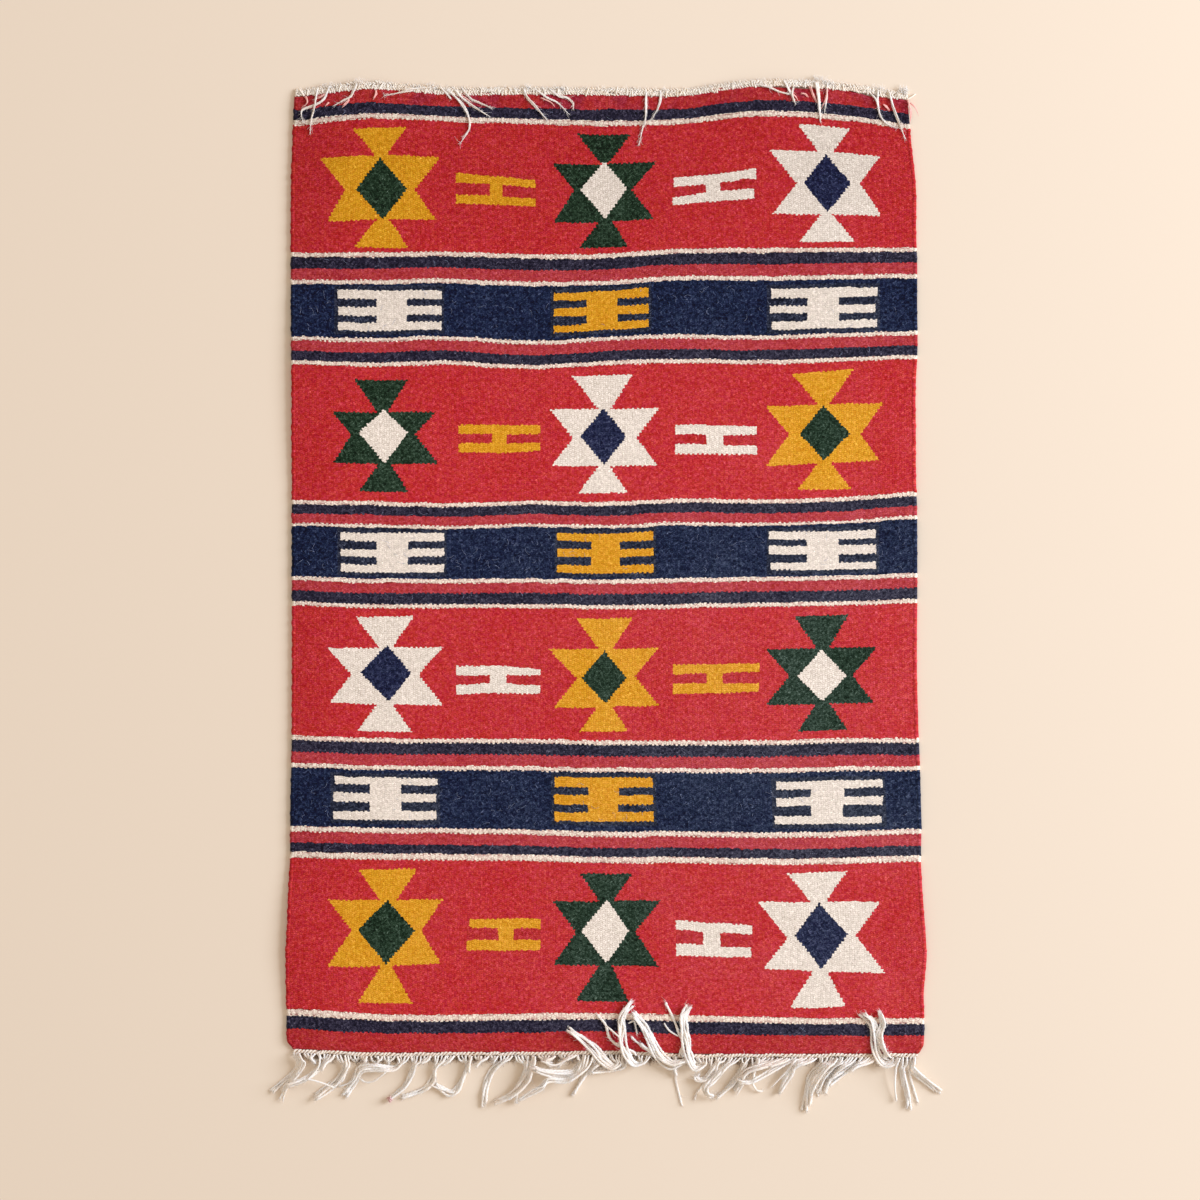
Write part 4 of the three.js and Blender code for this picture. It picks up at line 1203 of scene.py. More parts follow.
def make_cloth(settings, material):
    """The cloth: one closed sheet, the same grid above and below, joined along its rim.

    A point's place is cloth_point of its loom place. Its height is the swell under it, plus the
    thickness on the upper side, less a quarter circle's fall towards the rim, plus the puckering
    and the plump cream lines. The underside rises by a quarter circle towards the rim instead, and
    by a sine of the puckering.
    """
    rows = cloth_rows()
    columns = cloth_columns()
    loom_x, loom_y = np.meshgrid(columns, rows)
    x, y = cloth_point(loom_x, loom_y)
    inset = np.minimum(HALF_WIDTH - np.abs(loom_x), HALF_LENGTH - np.abs(loom_y))
    round_part = 1 - np.clip(inset / RIM, 0, 1)
    fall = THICKNESS / 2 * (1 - np.sqrt(1 - round_part ** 2))
    flat = np.clip(inset / RELIEF_FROM, 0, 1)
    lift = lift_at(x, y)
    relief = PUCKER_HEIGHT * puckering(x, y) + line_plumpness(loom_y)
    upper = lift + THICKNESS - fall + relief * flat
    lower = lift + fall + UNDERSIDE_RELIEF * (1 + np.sin(puckering(y, x) * 2)) * flat

    count = loom_x.size
    number = np.arange(count).reshape(loom_x.shape)
    rim = np.ones(loom_x.shape, bool)
    rim[1:-1, 1:-1] = False
    below = number.copy()
    below[~rim] = count + np.arange((~rim).sum())
    top_points = np.stack([x, y, upper], axis=-1).reshape(-1, 3)
    low_points = np.stack([x, y, lower], axis=-1)[~rim]

    def quads(grid):
        """The grid's squares, each by the numbers of its four points."""
        return np.stack([grid[:-1, :-1], grid[:-1, 1:], grid[1:, 1:], grid[1:, :-1]], axis=-1)

    top_quads = quads(number).reshape(-1, 4)
    low_quads = quads(below)[..., ::-1].reshape(-1, 4)
    faces = np.concatenate([top_quads, low_quads])
    points = np.concatenate([top_points, low_points])
    piece = new_piece("woven_cloth", points, faces.tolist(), material)

    loom = np.concatenate([np.stack([loom_x, loom_y], -1).reshape(-1, 2),
                           np.stack([loom_x, loom_y], -1)[~rim]])
    add_uv(piece, "Loom", at_corners(piece, loom * MM))
    add_bake_map(piece, loom, len(top_quads))
    middles = loom[faces].mean(axis=1)
    add_values(piece, "cream line", line_plumpness(middles[:, 1]) > 0, "FACE")
    add_values(piece, "line border", line_border(loom[:, 1]), "POINT")
    chart_faces(piece, middles[:, 0], middles[:, 1], settings)
    return piece


def add_bake_map(piece, loom, top_faces):
    """A second map for the cloth, its upper side in the left half and its underside in the right,
    each its straight loom place shrunk to fit with a narrow margin."""
    spread = (at_corners(piece, loom) / (HALF_WIDTH, HALF_LENGTH) + 1) / 2
    half = np.where(np.arange(len(spread)) < top_faces * 4, 0.0, 0.5)
    add_uv(piece, "OFBake", np.stack([half + 0.005 + spread[:, 0] * 0.49,
                                      0.005 + spread[:, 1] * 0.99], axis=-1))


def make_selvedge(name, side, settings, material):
    """A selvedge: the outermost warps with the weft turned round them, so a slightly scalloped
    cord. The profile is a circle whose radius and place swell with two sines whose phase drifts,
    carried up the cloth's side."""
    steps = SELVEDGE_STEPS
    loom_y = np.linspace(-HALF_LENGTH + 1.2, HALF_LENGTH - 1.2, steps)
    drift = 2.2 * np.sin(loom_y / 37 + side) + 1.4 * np.sin(loom_y / 13.7)
    wave = np.sin(loom_y * 2 * np.pi / 7.6 + drift) + 0.9 * np.sin(loom_y * 2 * np.pi / 17 - drift)
    loom_x = side * (HALF_WIDTH - SELVEDGE_INSET + 0.28 * wave)
    x, y = cloth_point(loom_x, loom_y)
    centres = np.stack([x, y, lift_at(x, y) + SELVEDGE_HEIGHT], axis=-1)[None]
    radius = (SELVEDGE_RADIUS + 0.1 * wave)[None]
    points, quads, triangles, _ = sweep(centres, radius, sides=SELVEDGE_SIDES)
    piece = new_piece(name, points, quads.tolist() + triangles.tolist(), material)

    # On the loom its sides lie next to each other, outwards from the cloth
    aside = side * np.tile(np.arange(SELVEDGE_SIDES), steps) * SELVEDGE_SIDE_WIDTH
    loom = np.stack([np.repeat(loom_x, SELVEDGE_SIDES) + aside,
                     np.repeat(loom_y, SELVEDGE_SIDES)], axis=-1)
    ends = np.array([[loom_x[0], loom_y[0]], [loom_x[-1], loom_y[-1]]])
    add_uv(piece, "Loom", at_corners(piece, np.concatenate([loom, ends]) * MM))

    # No motif reaches it, so its faces carry the chart of a place outside the cloth
    outside = np.full(len(piece.data.polygons), 2 * HALF_LENGTH)
    chart_faces(piece, outside, outside, settings)
    return piece


# Headings, yarns and fibres

YARN_STEP = 1.25
# How far over the cloth a yarn lies, how much of two yarns' reaches may overlap before one rests on
# the other, how high in its heading a root is, and how much of its height a yarn keeps.
OVER_CLOTH = 0.25
CLOSE = 0.7
ROOT_HEIGHT = 0.45
BEDDED = 0.95
# Steps along a heading, and how many times along it each of its irregularities is drawn: the line
# and the slide of a row, the jitter and the swell of a strand.
HEADING_STEPS = 760
HEADING_DRAWS = (90, 110, 240, 260)
HEADING_SIDES = 9
# Kinds of fibre: least and most rise for each step ahead, least and most length, curl, radius.
HEADING_FUZZ = ((-0.25, 0.2), (1.5, 5.0), 0.35, 0.2)
YARN_HAIRS = ((-0.15, 0.2), (2.5, 7.5), 0.2, 0.17)
STRAY_FIBRES = ((0, 0.1), (2.5, 7.5), 0.35, 0.15)
# Dark fibres that paint the shade under the lower fringe.
SHADE_FIBRES = ((-0.1, 0.1), (2.5, 6.5), 0.4, 0.18)


def route_through(points):
    """A smooth line through points, cut into equal steps: each piece between two points is the
    cubic whose slope at a point is half the way from the point before to the point after."""
    points = np.asarray(points, float)
    before = np.vstack([points[:1], points[:-1]])
    after = np.vstack([points[1:], points[-1:]])
    beyond = np.vstack([points[2:], points[-1:], points[-1:]])[: len(points)]
    t = np.linspace(0, 1, 13)[:-1, None, None]
    a, b, c, d = before[:-1], points[:-1], after[:-1], beyond[:-1]
    pieces = b + 0.5 * t * (c - a + t * (2 * a - 5 * b + 4 * c - d + t * (3 * (b - c) + d - a)))
    line = np.vstack([pieces.transpose(1, 0, 2).reshape(-1, 2), points[-1:]])
    run = np.concatenate([[0], np.cumsum(np.linalg.norm(np.diff(line, axis=0), axis=1))])
    count = max(6, int(run[-1] / YARN_STEP))
    even = np.linspace(0, run[-1], count)
    return np.stack([np.interp(even, run, line[:, k]) for k in range(2)], axis=-1)


class Pile:
    """The yarns laid so far, as places with a reach and a top, for the next one to rest on."""

    def __init__(self):
        self.places = np.empty((0, 4))

    def settle(self, route, radius, heading, rooted):
        """Heights for a yarn's middle: it rests on the floor, the heading, the cloth or yarns laid
        before, whichever is highest, and climbs from one to the next at a gentle slope."""
        side = heading["side"]
        x, y = route[:, 0], route[:, 1]
        past = side * (y - edge_y(x, side))
        lift = lift_at(x, y)
        support = np.zeros(len(route))
        on_heading = past < GAP + heading["width"] + radius
        support = np.where(on_heading, lift + heading["height"], support)
        support = np.where(past < radius, lift + THICKNESS + OVER_CLOTH, support)
        if len(self.places):
            apart = np.hypot(x[:, None] - self.places[:, 0], y[:, None] - self.places[:, 1])
            close = apart < (radius + self.places[:, 2]) * CLOSE
            tops = np.where(close, self.places[:, 3], 0)
            support = np.maximum(support, tops.max(axis=1))
        if rooted:
            # From its root to the heading's outer edge the yarn is held inside the heading
            within = (past > -0.5) & (past < GAP + heading["width"] + 0.6 * radius)
            out = int(np.argmin(within)) if not within.all() else len(route)
            support[:out] = heading["height"] * ROOT_HEIGHT
        run = np.concatenate([[0], np.cumsum(np.linalg.norm(np.diff(route, axis=0), axis=1))])
        eased = (support[None, :] - CLIMB * np.abs(run[:, None] - run[None, :])).max(axis=1)
        eased[1:-1] = np.maximum(eased[1:-1], (eased[:-2] + eased[2:]) / 2)
        return eased + radius * YARN_FLATNESS * BEDDED

    def add(self, route, radius, heights):
        """Notes a yarn's places, their reach and their tops, which are a little soft."""
        laid = np.stack([route[:, 0], route[:, 1], np.full(len(route), radius),
                         heights + radius * YARN_FLATNESS * SOFTNESS], axis=-1)
        self.places = np.vstack([self.places, laid])


def floor_line(bends, side):
    """The bends of a yarn as floor places, their reach counted from the straight cloth's end."""
    return [(x, side * (HALF_LENGTH + reach)) for x, reach in bends]


def lay_yarn(pile, points, radius, heading, rooted, ply_length, ends_width, chance):
    """One plied yarn along a smooth line, settled on the pile. At its root and its tip it has
    ends_width of its own width, and changes from and to these over its first quarter and its last
    45 hundredths. It swells by chance along its length, and its tip flares or thins with the fourth
    power of the way there. Gives its sweep, and where it ends and the way it points there."""
    route = route_through(points)
    heights = pile.settle(route, radius, heading, rooted)
    pile.add(route, radius, heights)
    centres = np.concatenate([route, heights[:, None]], axis=1)[None]
    part = np.linspace(0, 1, len(route))
    flare = chance.uniform(0.85, 1.3)
    knots = max(7, len(route) // 2)
    swell = np.interp(part, np.linspace(0, 1, knots), chance.uniform(0.8, 1.17, knots))
    swell = swell * np.interp(part, (0, 0.25, 0.55, 1), (ends_width[0], 1, 1, ends_width[1]))
    thickness = radius * swell * (1 + (flare - 1) * part ** 4)
    swept = sweep(centres, thickness[None], sides=8, lobes=2, lobe_depth=0.2,
                  turn_length=ply_length * chance.uniform(0.85, 1.2), flatness=YARN_FLATNESS)
    end = centres[0, -1]
    way = end - centres[0, -4]
    return swept, np.concatenate([end, way / np.linalg.norm(way)])


def yarn_roots(locks, chance):
    """Where the warps leave the heading, shared out: every warp goes to the nearest lock if that is
    near enough, and a lock that would get none takes the warp nearest to it as well."""
    lock_roots = np.array([root for _, root, _ in locks], float)
    warps = np.arange(FIRST_ROOT, LAST_ROOT, ROOT_SPACING)
    warps = warps + chance.uniform(-1, 1, len(warps))
    nearest = np.abs(warps[:, None] - lock_roots).argmin(axis=1)
    shares = []
    for number, root in enumerate(lock_roots):
        share = warps[nearest == number]
        share = share[np.abs(share - root) < ROOT_REACH]
        shares.append(share if len(share) else warps[[np.abs(warps - root).argmin()]])
    return shares


def lock_lines(lock, roots, heading, yarn_width, chance):
    """The yarns of one lock, each as the points of its line. The warps gather at the lock's first
    bend and then run side by side, wandering a little, and a wide lock's draw together towards its
    tip. Warps that the lock is too thin for end just after they have joined it."""
    width, _, bends = lock
    side = heading["side"]
    spine = np.array(floor_line(bends, side), float)
    root_y = edge_y(roots, side) + side * (GAP + heading["width"] * ROOT_DEPTH)
    start = np.array([[roots.mean(), root_y.mean()]])
    run = np.gradient(np.vstack([start, spine]), axis=0)
    run /= np.linalg.norm(run, axis=1, keepdims=True)
    across = np.stack([run[:, 1], -run[:, 0]], axis=-1)
    across *= -1 if across[0, 0] < 0 else 1
    # How wide the yarns lie together, and how many have room there, each partly over the next
    full = min(width * 2.2, 4 + width * 0.9)
    room = 1 if width < 2 else int(round(full / (yarn_width * 0.7)))
    count = max(room, len(roots))
    places = np.linspace(-0.5, 0.5, count) if count > 1 else np.zeros(1)
    to_tip = np.arange(len(spine))[::-1, None]
    together = np.interp(to_tip, (0, 2), (0.65 if width > 2.4 else 1, 1))
    reach = max(full - yarn_width, 0)
    for k in range(count):
        place = k * len(roots) // count
        off = places[k] * reach
        wander = chance.normal(0, 0.11 * full, (len(spine), 1))
        wander[0] -= off * 0.4
        line = spine + across[1:] * (off * together + wander)
        if k >= room:
            line = line[:1] + np.array([[0, 0], run[1] * 7])
        elif count > 1:
            line[-1] += run[-1] * chance.uniform(-4.5, 1.2) + across[-1] * chance.normal(0, 0.9)
        leaves = np.array([roots[place] + (k - count / 2) * 0.2, root_y[place]])
        half = leaves + (line[0] - leaves) * (0.33, 0.5) + chance.normal(0, 0.5, 2)
        yield np.vstack([leaves, half, line])


def make_yarns(name, locks, strays, heading, fringe, material, seed):
    """All the loose warp ends of one end of the cloth, in the order in which they lie: at the upper
    end two yarns side by side for each, at the lower end whole locks. Gives the piece, where each
    yarn ends and the way it points there, and the places of the pile."""
    chance = np.random.default_rng(seed)
    pile = Pile()
    side = heading["side"]
    yarn_width = fringe.yarn_width / MM
    ply_length = fringe.ply_length / MM
    parts = []
    tips = []

    def lay(line, radius, rooted, ends_width=(0.75, 0.85)):
        """Lays one yarn of this end and keeps it."""
        part, tip = lay_yarn(pile, line, radius, heading, rooted, ply_length, ends_width, chance)
        parts.append(part)
        tips.append(tip)

    if side > 0:
        for width, root, bends in locks:
            leaves = edge_y(root, side) + side * (GAP + heading["width"] * ROOT_DEPTH)
            line = [(root, leaves)] + floor_line(bends, side)
            lay(line, width * 0.46, True, (1.2, 0.35))
            # A thinner yarn keeps near it and ends earlier
            loose = np.array(line) + chance.normal(0, width * 0.3, (len(line), 2))
            loose[-1] = loose[-2] + (loose[-1] - loose[-2]) * chance.uniform(0.3, 0.9)
            lay(loose, width * 0.3, True, (1.3, 0.4))
    else:
        locks = sorted(locks, key=lambda lock: not 0 < lock[2][-1][1] < SHORT)
        for lock, roots in zip(locks, yarn_roots(locks, chance)):
            for line in lock_lines(lock, roots, heading, yarn_width, chance):
                lay(line, yarn_width / 2 * chance.uniform(0.86, 1.12), True)
    for bends in strays:
        lay(floor_line(bends, side), yarn_width * 0.36, False)
    return plied_piece(name, parts, material), np.array(tips), pile.places


def make_heading(name, heading, rows, pitch, thickness, fringe, material, seed):
    """A twined heading: each row is two strands that wind round each other along the cloth's end.

    A strand's place is its row's line, plus a sine across and a cosine upwards of the same phase;
    the other strand is half a turn behind, and neighbouring rows wind opposite ways. Line, phase
    and width waver by chance. Where a strand dips under the other it counts as a crease, which
    its material darkens as painted shade.
    """
    chance = np.random.default_rng(seed)
    side = heading["side"]
    _, left, right = SIDES[0 if side > 0 else -1]
    x = np.linspace(left + 1.2, right - 0.2, HEADING_STEPS)
    line_draws, slide_draws, jitter_draws, swell_draws = HEADING_DRAWS

    def wavering(drawn):
        """Values drawn by chance, evenly spaced along the heading and joined by straight lines."""
        return np.interp(x, np.linspace(left, right, len(drawn)), drawn)

    parts = []
    for row, (offset, height) in enumerate(rows):
        line = wavering(chance.normal(0, 0.55, line_draws))
        slide = wavering(chance.normal(0, 0.55, slide_draws))
        for strand in range(2):
            jitter = wavering(chance.normal(0, 0.3, jitter_draws))
            swell = wavering(chance.uniform(0.75, 1.2, swell_draws))
            phase = 2 * np.pi * x / pitch + np.pi * strand + row * 1.3 + slide
            out = offset + line + jitter + thickness * 1.15 * np.sin(phase)
            y = edge_y(x, side) + side * out
            turn = np.cos(phase) * (1 if row % 2 else -1)
            z = lift_at(x, y) + height + thickness * 0.75 * turn
            centres = np.stack([x, y, z], axis=-1)[None]
            points, quads, triangles, crease = sweep(
                centres, (thickness * swell)[None], sides=HEADING_SIDES, lobes=2,
                lobe_depth=0.14, turn_length=fringe.ply_length / MM * 0.8)
            # Where a strand dips under the other, its crease gets painted shade.
            dips = np.append(np.repeat(1 - turn, HEADING_SIDES), (0, 0))
            parts.append((points, quads, triangles, np.maximum(crease, dips)))
    return plied_piece(name, parts, material)


def make_cut_warps(name, count, fringe, material, seed):
    """The warps of the upper end, cut off just past their heading: short slanting yarns. Each is a
    line from the cloth's edge or the heading down to just over the floor, bent sideways by the
    square of how far along it is and raised by half a sine."""
    chance = np.random.default_rng(seed)
    x = np.linspace(-293.5, 289.0, count) + chance.normal(0, 0.7, count)
    slant = chance.normal(0, 0.35, count) + 0.25 * np.sin(x / 31)
    first = chance.uniform(-1.5, 2.6, count)
    last = chance.uniform(4.9, 7.4, count) + 0.7 * np.sin(x / 9.3) * chance.uniform(0, 1, count)
    part = np.linspace(0, 1, 6)
    out = first[:, None] + (last - first)[:, None] * part
    across = x[:, None] + slant[:, None] * (out - first[:, None])
    across = across + chance.normal(0, 0.5, (count, 1)) * part ** 2
    y = edge_y(across, 1) + out
    from_height = np.where(first < 0.5, 4.1, chance.uniform(1.2, 2.9, count))[:, None]
    to_height = chance.uniform(0.8, 2.6, count)[:, None]
    rise = from_height * (1 - part) + to_height * part
    z = lift_at(across, y) + rise + np.sin(part * np.pi)
    centres = np.stack([across, y, z], axis=-1)
    radius = chance.uniform(0.5, 0.85, count)[:, None] * (1 - 0.25 * part)
    swept = sweep(centres, radius, sides=7, lobes=2, lobe_depth=0.18,
                  turn_length=fringe.ply_length / MM * 0.6)
    return plied_piece(name, [swept], material)


def make_fibres(name, starts, directions, lengths, curl, radius, material, seed):
    """Short single fibres. Each is a parabola: it sets out along its direction, bends sideways by
    its curl and wavers once, thins towards its tip, and its section is a triangle."""
    chance = np.random.default_rng(seed)
    part = np.linspace(0, 1, 5)
    count = len(starts)
    ahead = directions / np.linalg.norm(directions, axis=1, keepdims=True)
    aside = np.cross(ahead, (0.0, 0.0, 1.0))
    aside /= np.maximum(np.linalg.norm(aside, axis=1, keepdims=True), 1e-6)
    bow = chance.normal(0, curl, (count, 1)) * part ** 2
    waver = chance.normal(0, curl * 0.6, (count, 1)) * np.sin(part * np.pi)
    centres = (starts[:, None, :] + ahead[:, None, :] * (part * lengths[:, None])[..., None]
               + aside[:, None, :] * ((bow + waver) * lengths[:, None])[..., None])
    centres[..., 2] = np.maximum(centres[..., 2], radius)
    thickness = radius * (1 - 0.6 * part)[None].repeat(count, axis=0)
    return plied_piece(name, [sweep(centres, thickness, sides=3)], material)


def strew_fibres(name, starts, aim, kind, material, chance, seed):
    """Fibres of one kind that set out at given angles from the right."""
    rise, length, curl, radius = kind
    count = len(starts)
    directions = np.stack([np.cos(aim), np.sin(aim), chance.uniform(*rise, count)], axis=-1)
    return make_fibres(name, starts, directions, chance.uniform(*length, count), curl, radius,
                       material, seed)


def fibres_at_tips(name, tips, per_tip, material, seed):
    """Frayed ends: a few fibres spread from every tip about the way that its yarn points."""
    chance = np.random.default_rng(seed)
    tips = np.repeat(tips, per_tip, axis=0)
    count = len(tips)
    turn = chance.normal(0, 0.5, count)
    ahead = tips[:, 3:5]
    turned = np.stack([ahead[:, 0] * np.cos(turn) - ahead[:, 1] * np.sin(turn),
                       ahead[:, 0] * np.sin(turn) + ahead[:, 1] * np.cos(turn),
                       chance.uniform(-0.3, 0.25, count)], axis=-1)
    starts = tips[:, :3] - np.concatenate([ahead, np.zeros((count, 1))], axis=1) * 0.6
    return make_fibres(name, starts, turned, chance.uniform(1.2, 3.6, count), 0.3, 0.22,
                       material, seed + 1)


def fibres_on_yarns(name, places, count, material, seed):
    """Hairs on the loose yarns: each starts at a place of the pile, near the yarn's top, and runs
    much as the yarn does there."""
    chance = np.random.default_rng(seed)
    ahead = np.gradient(places[:, :2], axis=0)
    way = np.arctan2(ahead[:, 1], ahead[:, 0])
    number = chance.integers(0, len(places), count)
    picked = places[number]
    aim = way[number] + chance.normal(0, 0.4, count)
    off = chance.uniform(-1, 1, count) * picked[:, 2]
    start_z = picked[:, 3] + picked[:, 2] * chance.uniform(-0.5, 0.35, count)
    starts = np.stack([picked[:, 0] - np.sin(aim) * off, picked[:, 1] + np.cos(aim) * off,
                       np.maximum(start_z, 0.3)], axis=-1)
    return strew_fibres(name, starts, aim, YARN_HAIRS, material, chance, seed + 1)


def fibres_on_cloth(name, count, material, seed):
    """Pale stray fibres that lie on the dark stripes, every way."""
    chance = np.random.default_rng(seed)
    dark = [(top, bottom) for wool, top, bottom in stripe_edges() if wool in ("navy", "blue")]
    sizes = np.array([top - bottom for top, bottom in dark])
    which = chance.choice(len(dark), count, p=sizes / sizes.sum())
    tops, bottoms = np.array(dark)[which].T
    loom_y = bottoms + (tops - bottoms) * chance.uniform(0.1, 0.9, count)
    x, y = cloth_point(chance.uniform(-290, 290, count), loom_y)
    starts = np.stack([x, y, lift_at(x, y) + THICKNESS + 0.45], axis=-1)
    aim = chance.uniform(0, 2 * np.pi, count)
    return strew_fibres(name, starts, aim, STRAY_FIBRES, material, chance, seed + 1)


def broken_fibres(name, count, material, seed):
    """Short broken fibres, dark brown, that lie on the floor among the lower fringe's roots as
    painted shade between them.
    """
    chance = np.random.default_rng(seed)
    x = chance.uniform(-294, 297, count)
    y = edge_y(x, -1) - chance.uniform(2.5, 8.5, count)
    starts = np.stack([x, y, chance.uniform(0.2, 1.4, count)], axis=-1)
    aim = chance.uniform(0, 2 * np.pi, count)
    return strew_fibres(name, starts, aim, SHADE_FIBRES, material, chance, seed + 1)


def fuzz_on_heading(name, loose, material, seed):
    """The upper heading's fuzz: so many loose fibres all along it, and tufts that thin out from
    their middles, a little higher up. All point about outwards from the cloth."""
    chance = np.random.default_rng(seed)
    tufts = np.array(UPPER_TUFTS, float)
    tufts = np.repeat(tufts, tufts[:, 3].astype(int), axis=0)
    x = tufts[:, 0] + chance.normal(0, 0.6, len(tufts)) * tufts[:, 2]
    past = tufts[:, 1] + chance.normal(0, 0.35, len(tufts)) * tufts[:, 2]
    x = np.clip(np.concatenate([chance.uniform(-292, 288, loose), x]), -293, 289)
    past = np.concatenate([chance.uniform(1.0, 6.0, loose), past])
    count = len(x)
    y = edge_y(x, 1) + past
    height = chance.uniform(0.6, 3.9, count) + np.where(np.arange(count) < loose, 0, 1.2)
    starts = np.stack([x, y, lift_at(x, y) + height], axis=-1)
    aim = chance.normal(0, 0.8, count) + np.pi / 2
    return strew_fibres(name, starts, aim, HEADING_FUZZ, material, chance, seed + 1)


def frayed_wool(name, fringe, material, seed):
    """Frayed ends of red wool that lie on the upper end's cloth: three thin strands for each, that
    keep near one smooth line and end one after the other."""
    chance = np.random.default_rng(seed)
    pile = Pile()
    parts = []
    for width, bends in FRAYED_WOOL:
        line = np.array(floor_line(bends, 1), float)
        for share in (1.0, 0.85, 0.6):
            strand = line + chance.normal(0, width * 0.3, line.shape)
            strand[-1] = strand[-2] + (strand[-1] - strand[-2]) * share
            part, _ = lay_yarn(pile, strand, width * 0.27, UPPER_HEADING, False,
                               fringe.ply_length / MM, (0.7, 0.3), chance)
            parts.append(part)
    return plied_piece(name, parts, material)


def make_knot(name, tips, turns, material):
    """A small knot of red wool at the tip of one lower lock: a coil round the yarn's end, which is a
    circle in the plane across the yarn that moves on along it and swells with a sine."""
    number = np.hypot(tips[:, 0] - KNOT_AT[0], tips[:, 1] - KNOT_AT[1]).argmin()
    end, way = tips[number, :3], tips[number, 3:]
    aside = np.cross(way, (0.0, 0.0, 1.0))
    aside /= np.linalg.norm(aside)
    above = np.cross(aside, way)
    turn = np.linspace(0, turns * 2 * np.pi, turns * 20)
    reach = 1.9 + 0.5 * np.sin(turn * 1.7)
    middle = end + np.array((0, 0, 0.9)) - way * 1.5
    coil = (middle + way * (turn / turn[-1] * 4.2 - 1.6)[:, None]
            + (aside * np.cos(turn)[:, None] + above * np.sin(turn)[:, None]) * reach[:, None])
    swept = sweep(coil[None], np.full((1, len(turn)), 0.7), sides=7, lobes=2, lobe_depth=0.2,
                  turn_length=3.0)
    return plied_piece(name, [swept], material)


# Operators


class KILIM_OT_weave_cloth(bpy.types.Operator):
    """Weave the patterned cloth with its two selvedges"""

    bl_idname = "kilim.weave_cloth"
    bl_label = "Weave cloth"

    def execute(self, context):
        settings = context.scene.kilim_cloth
        material = shared_material("dyed wool weave", wool_material, settings)
        cloth = make_cloth(settings, material)
        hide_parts("kilim_cloth")
        left = make_selvedge("selvedge_left", -1, settings, material)
        right = make_selvedge("selvedge_right", 1, settings, material)
        for piece in (cloth, left, right):
            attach(piece, "root")
        return {"FINISHED"}


class KILIM_OT_twine_headings(bpy.types.Operator):
    """Twine the two headings that hold the cloth's ends"""

    bl_idname = "kilim.twine_headings"
    bl_label = "Twine headings"

    def execute(self, context):
        fringe = context.scene.kilim_fringe
        material = shared_material("heading yarn", warp_material, fringe.heading_warp, soil=0.18)
        upper = make_heading("upper_heading", UPPER_HEADING, UPPER_ROWS, pitch=5.0, thickness=0.8,
                             fringe=fringe, material=material, seed=11)
        lower = make_heading("lower_heading", LOWER_HEADING, LOWER_ROWS, pitch=7.2, thickness=1.0,
                             fringe=fringe, material=material, seed=12)
        warps = make_cut_warps("upper_cut_warps", 235, fringe, material, seed=13)
        for piece in (upper, lower, warps):
            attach(piece, "root")
        return {"FINISHED"}


class KILIM_OT_lay_fringe(bpy.types.Operator):
    """Lay the loose warp ends of both fringes, yarn by yarn"""

    bl_idname = "kilim.lay_fringe"
    bl_label = "Lay fringe"

    def execute(self, context):
        fringe = context.scene.kilim_fringe
        material = shared_material("raw warp yarn", warp_material, fringe.raw_warp, soil=0.15)
        soiled = shared_material("soiled warp yarn", warp_material, fringe.upper_warp, soil=0.4)
        upper, upper_tips, upper_places = make_yarns("upper_fringe_yarns", UPPER_YARNS, UPPER_STRAYS,
                                                     UPPER_HEADING, fringe, soiled, seed=21)
        lower, lower_tips, lower_places = make_yarns("lower_fringe_yarns", LOWER_LOCKS, LOWER_STRAYS,
                                                     LOWER_HEADING, fringe, material, seed=22)
        frayed = fibres_at_tips("frayed_tips", np.concatenate([upper_tips, lower_tips]), 5,
                                material, seed=23)
        fuzz = fibres_on_yarns("fringe_fuzz", np.concatenate([upper_places, lower_places]), 3600,
                               material, seed=24)
        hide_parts("upper_fringe")
        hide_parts("lower_fringe")
        red = shared_material("knotted wool", plain_wool_material, fringe.knot_red)
        knot = make_knot("tip_knot", lower_tips, turns=3, material=red)
        for piece in (upper, lower, frayed, fuzz, knot):
            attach(piece, "root")
        return {"FINISHED"}


class KILIM_OT_raise_fuzz(bpy.types.Operator):
    """Raise the fuzz: fibres on the upper heading, stray ones on the cloth, frayed red wool, and dark
    fibres as painted shade under the lower fringe
    """

    bl_idname = "kilim.raise_fuzz"
    bl_label = "Raise fuzz"

    def execute(self, context):
        fringe = context.scene.kilim_fringe
        material = shared_material("raw warp yarn", warp_material, fringe.raw_warp, soil=0.15)
        upper = fuzz_on_heading("upper_fuzz", 1350, material, seed=31)
        pale = shared_material("pale wool fibre", plain_wool_material, fringe.stray_fibre)
        cloth = fibres_on_cloth("cloth_fibres", 330, pale, seed=33)
        red = shared_material("frayed wool", plain_wool_material, fringe.frayed_red)
        frayed = frayed_wool("frayed_wool", fringe, red, seed=35)
        # Dark fibres among the lower fringe's roots, as painted shade.
        shade_dark = shared_material("dusty fibre", plain_wool_material, fringe.dusty_fibre)
        broken = broken_fibres("broken_fibres", 2600, shade_dark, seed=37)
        for piece in (upper, broken, cloth, frayed):
            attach(piece, "root")
        return {"FINISHED"}


# The stage, in metres: the floor's half side, the lamp's side and place, the camera's place over
# the rug, and the tints of the lamp and of the even light.
FLOOR_REACH = 6.0
LAMP_SIDE = 2.7
LAMP_PLACE = (4.54, 1.06, 2.54)
LAMP_TINT = (0.907, 1.0, 1.173)
FILL_TINT = (1.135, 1.0, 0.883, 1)
CAMERA_PLACE = (-0.0033, -0.0263)


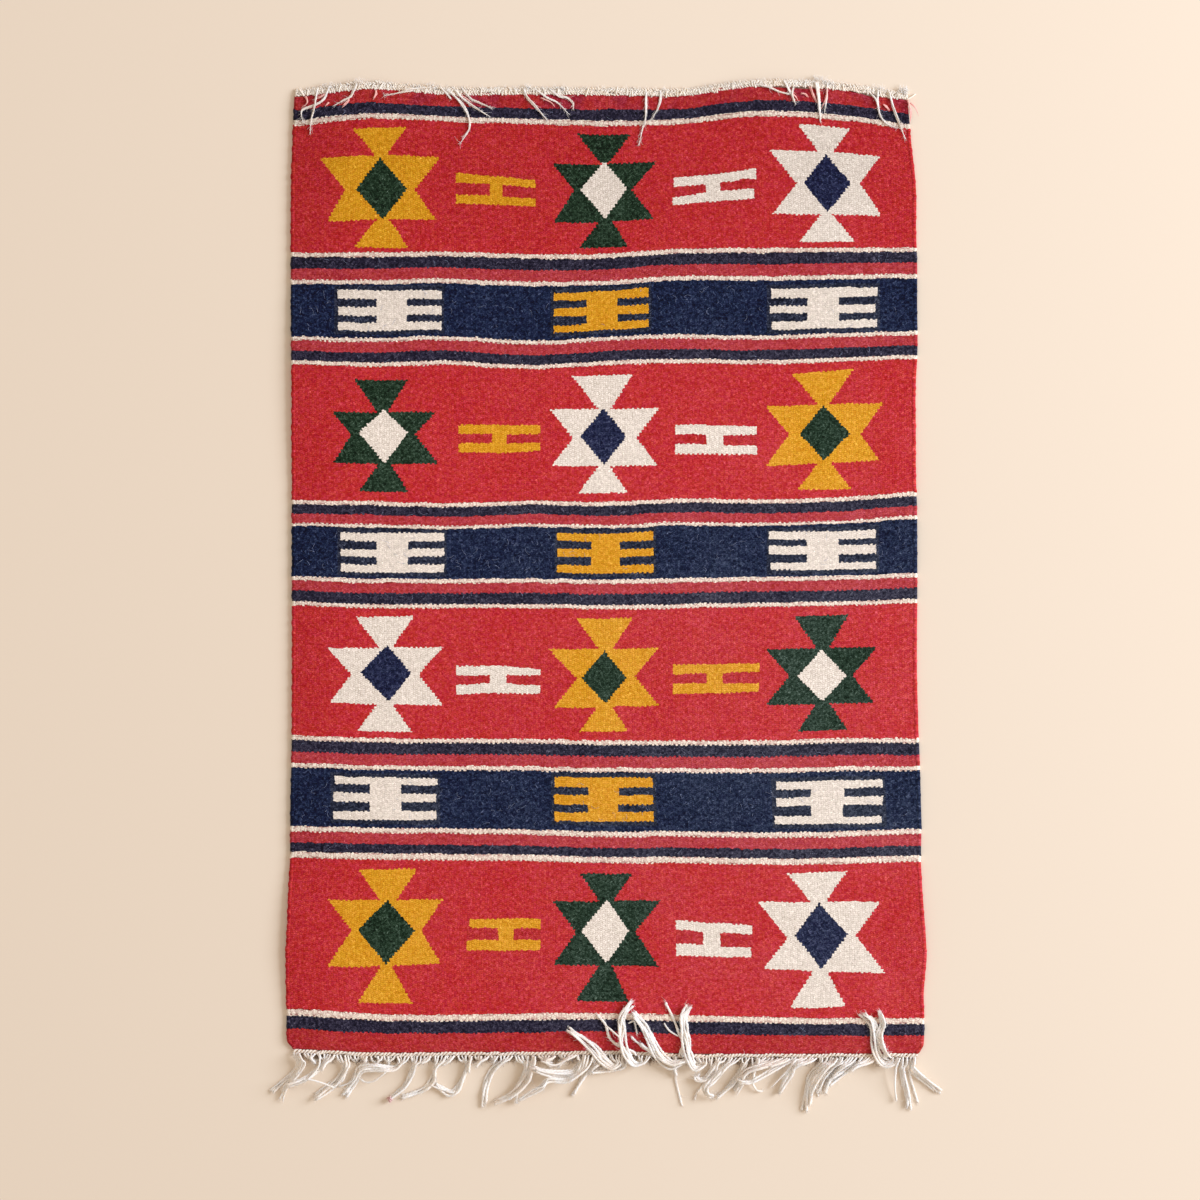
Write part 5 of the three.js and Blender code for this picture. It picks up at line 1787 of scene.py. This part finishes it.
class KILIM_OT_set_stage(bpy.types.Operator):
    """Set the stage: floor, soft light and the camera straight above"""

    bl_idname = "kilim.set_stage"
    bl_label = "Set stage"

    def execute(self, context):
        stage = context.scene.kilim_stage
        scene = context.scene
        half = FLOOR_REACH / MM
        corners = [(-half, -half, 0), (half, -half, 0), (half, half, 0), (-half, half, 0)]
        floor = new_piece("floor", corners, [(0, 1, 2, 3)], floor_material("pale floor", stage.floor),
                          smooth=False)

        key = bpy.data.lights.new("key light", "AREA")
        key.shape = "RECTANGLE"
        key.size = LAMP_SIDE
        key.size_y = LAMP_SIDE
        key.energy = stage.key_power
        key.color = LAMP_TINT
        lamp = bpy.data.objects.new("key light", key)
        lamp.location = LAMP_PLACE
        lamp.rotation_euler = (-lamp.location).to_track_quat("-Z", "Y").to_euler()
        scene.collection.objects.link(lamp)

        world = bpy.data.worlds.new("even light")
        world.use_nodes = True
        background = world.node_tree.nodes["Background"]
        background.inputs["Color"].default_value = FILL_TINT
        background.inputs["Strength"].default_value = stage.sky
        scene.world = world
        scene.view_settings.view_transform = "Standard"

        camera = bpy.data.cameras.new("camera")
        camera.lens = 85
        camera.sensor_width = 36
        eye = bpy.data.objects.new("camera", camera)
        eye.location = (*CAMERA_PLACE, stage.camera_height)
        scene.collection.objects.link(eye)
        scene.camera = eye
        return {"FINISHED"}


class KILIM_PT_panel(bpy.types.Panel):
    """Lists the rug's settings and the operators that make its pieces"""

    bl_idname = "KILIM_PT_panel"
    bl_label = "Kilim rug"
    bl_space_type = "VIEW_3D"
    bl_region_type = "UI"
    bl_category = "Kilim"

    def draw(self, context):
        for group in ("kilim_cloth", "kilim_fringe", "kilim_stage"):
            settings = getattr(context.scene, group)
            box = self.layout.box()
            for name in settings.__annotations__:
                box.prop(settings, name)
        for operator in OPERATORS:
            self.layout.operator(operator.bl_idname)


OPERATORS = (
    KILIM_OT_weave_cloth,
    KILIM_OT_twine_headings,
    KILIM_OT_lay_fringe,
    KILIM_OT_raise_fuzz,
    KILIM_OT_set_stage,
)
SETTINGS = {
    "kilim_cloth": KilimClothSettings,
    "kilim_fringe": KilimFringeSettings,
    "kilim_stage": KilimStageSettings,
}


def register():
    """Registers the settings, the operators and the panel."""
    for group in SETTINGS.values():
        bpy.utils.register_class(group)
    for operator in OPERATORS:
        bpy.utils.register_class(operator)
    bpy.utils.register_class(KILIM_PT_panel)
    for name, group in SETTINGS.items():
        setattr(bpy.types.Scene, name, bpy.props.PointerProperty(type=group))


def unregister():
    """Takes back what register did, in the opposite order."""
    for name in SETTINGS:
        delattr(bpy.types.Scene, name)
    bpy.utils.unregister_class(KILIM_PT_panel)
    for operator in reversed(OPERATORS):
        bpy.utils.unregister_class(operator)
    for group in reversed(list(SETTINGS.values())):
        bpy.utils.unregister_class(group)


def main():
    """Makes the rug and its stage piece by piece."""
    register()
    bpy.ops.kilim.weave_cloth()
    bpy.ops.kilim.twine_headings()
    bpy.ops.kilim.lay_fringe()
    bpy.ops.kilim.raise_fuzz()
    bpy.ops.kilim.set_stage()


if __name__ == "__main__":
    main()
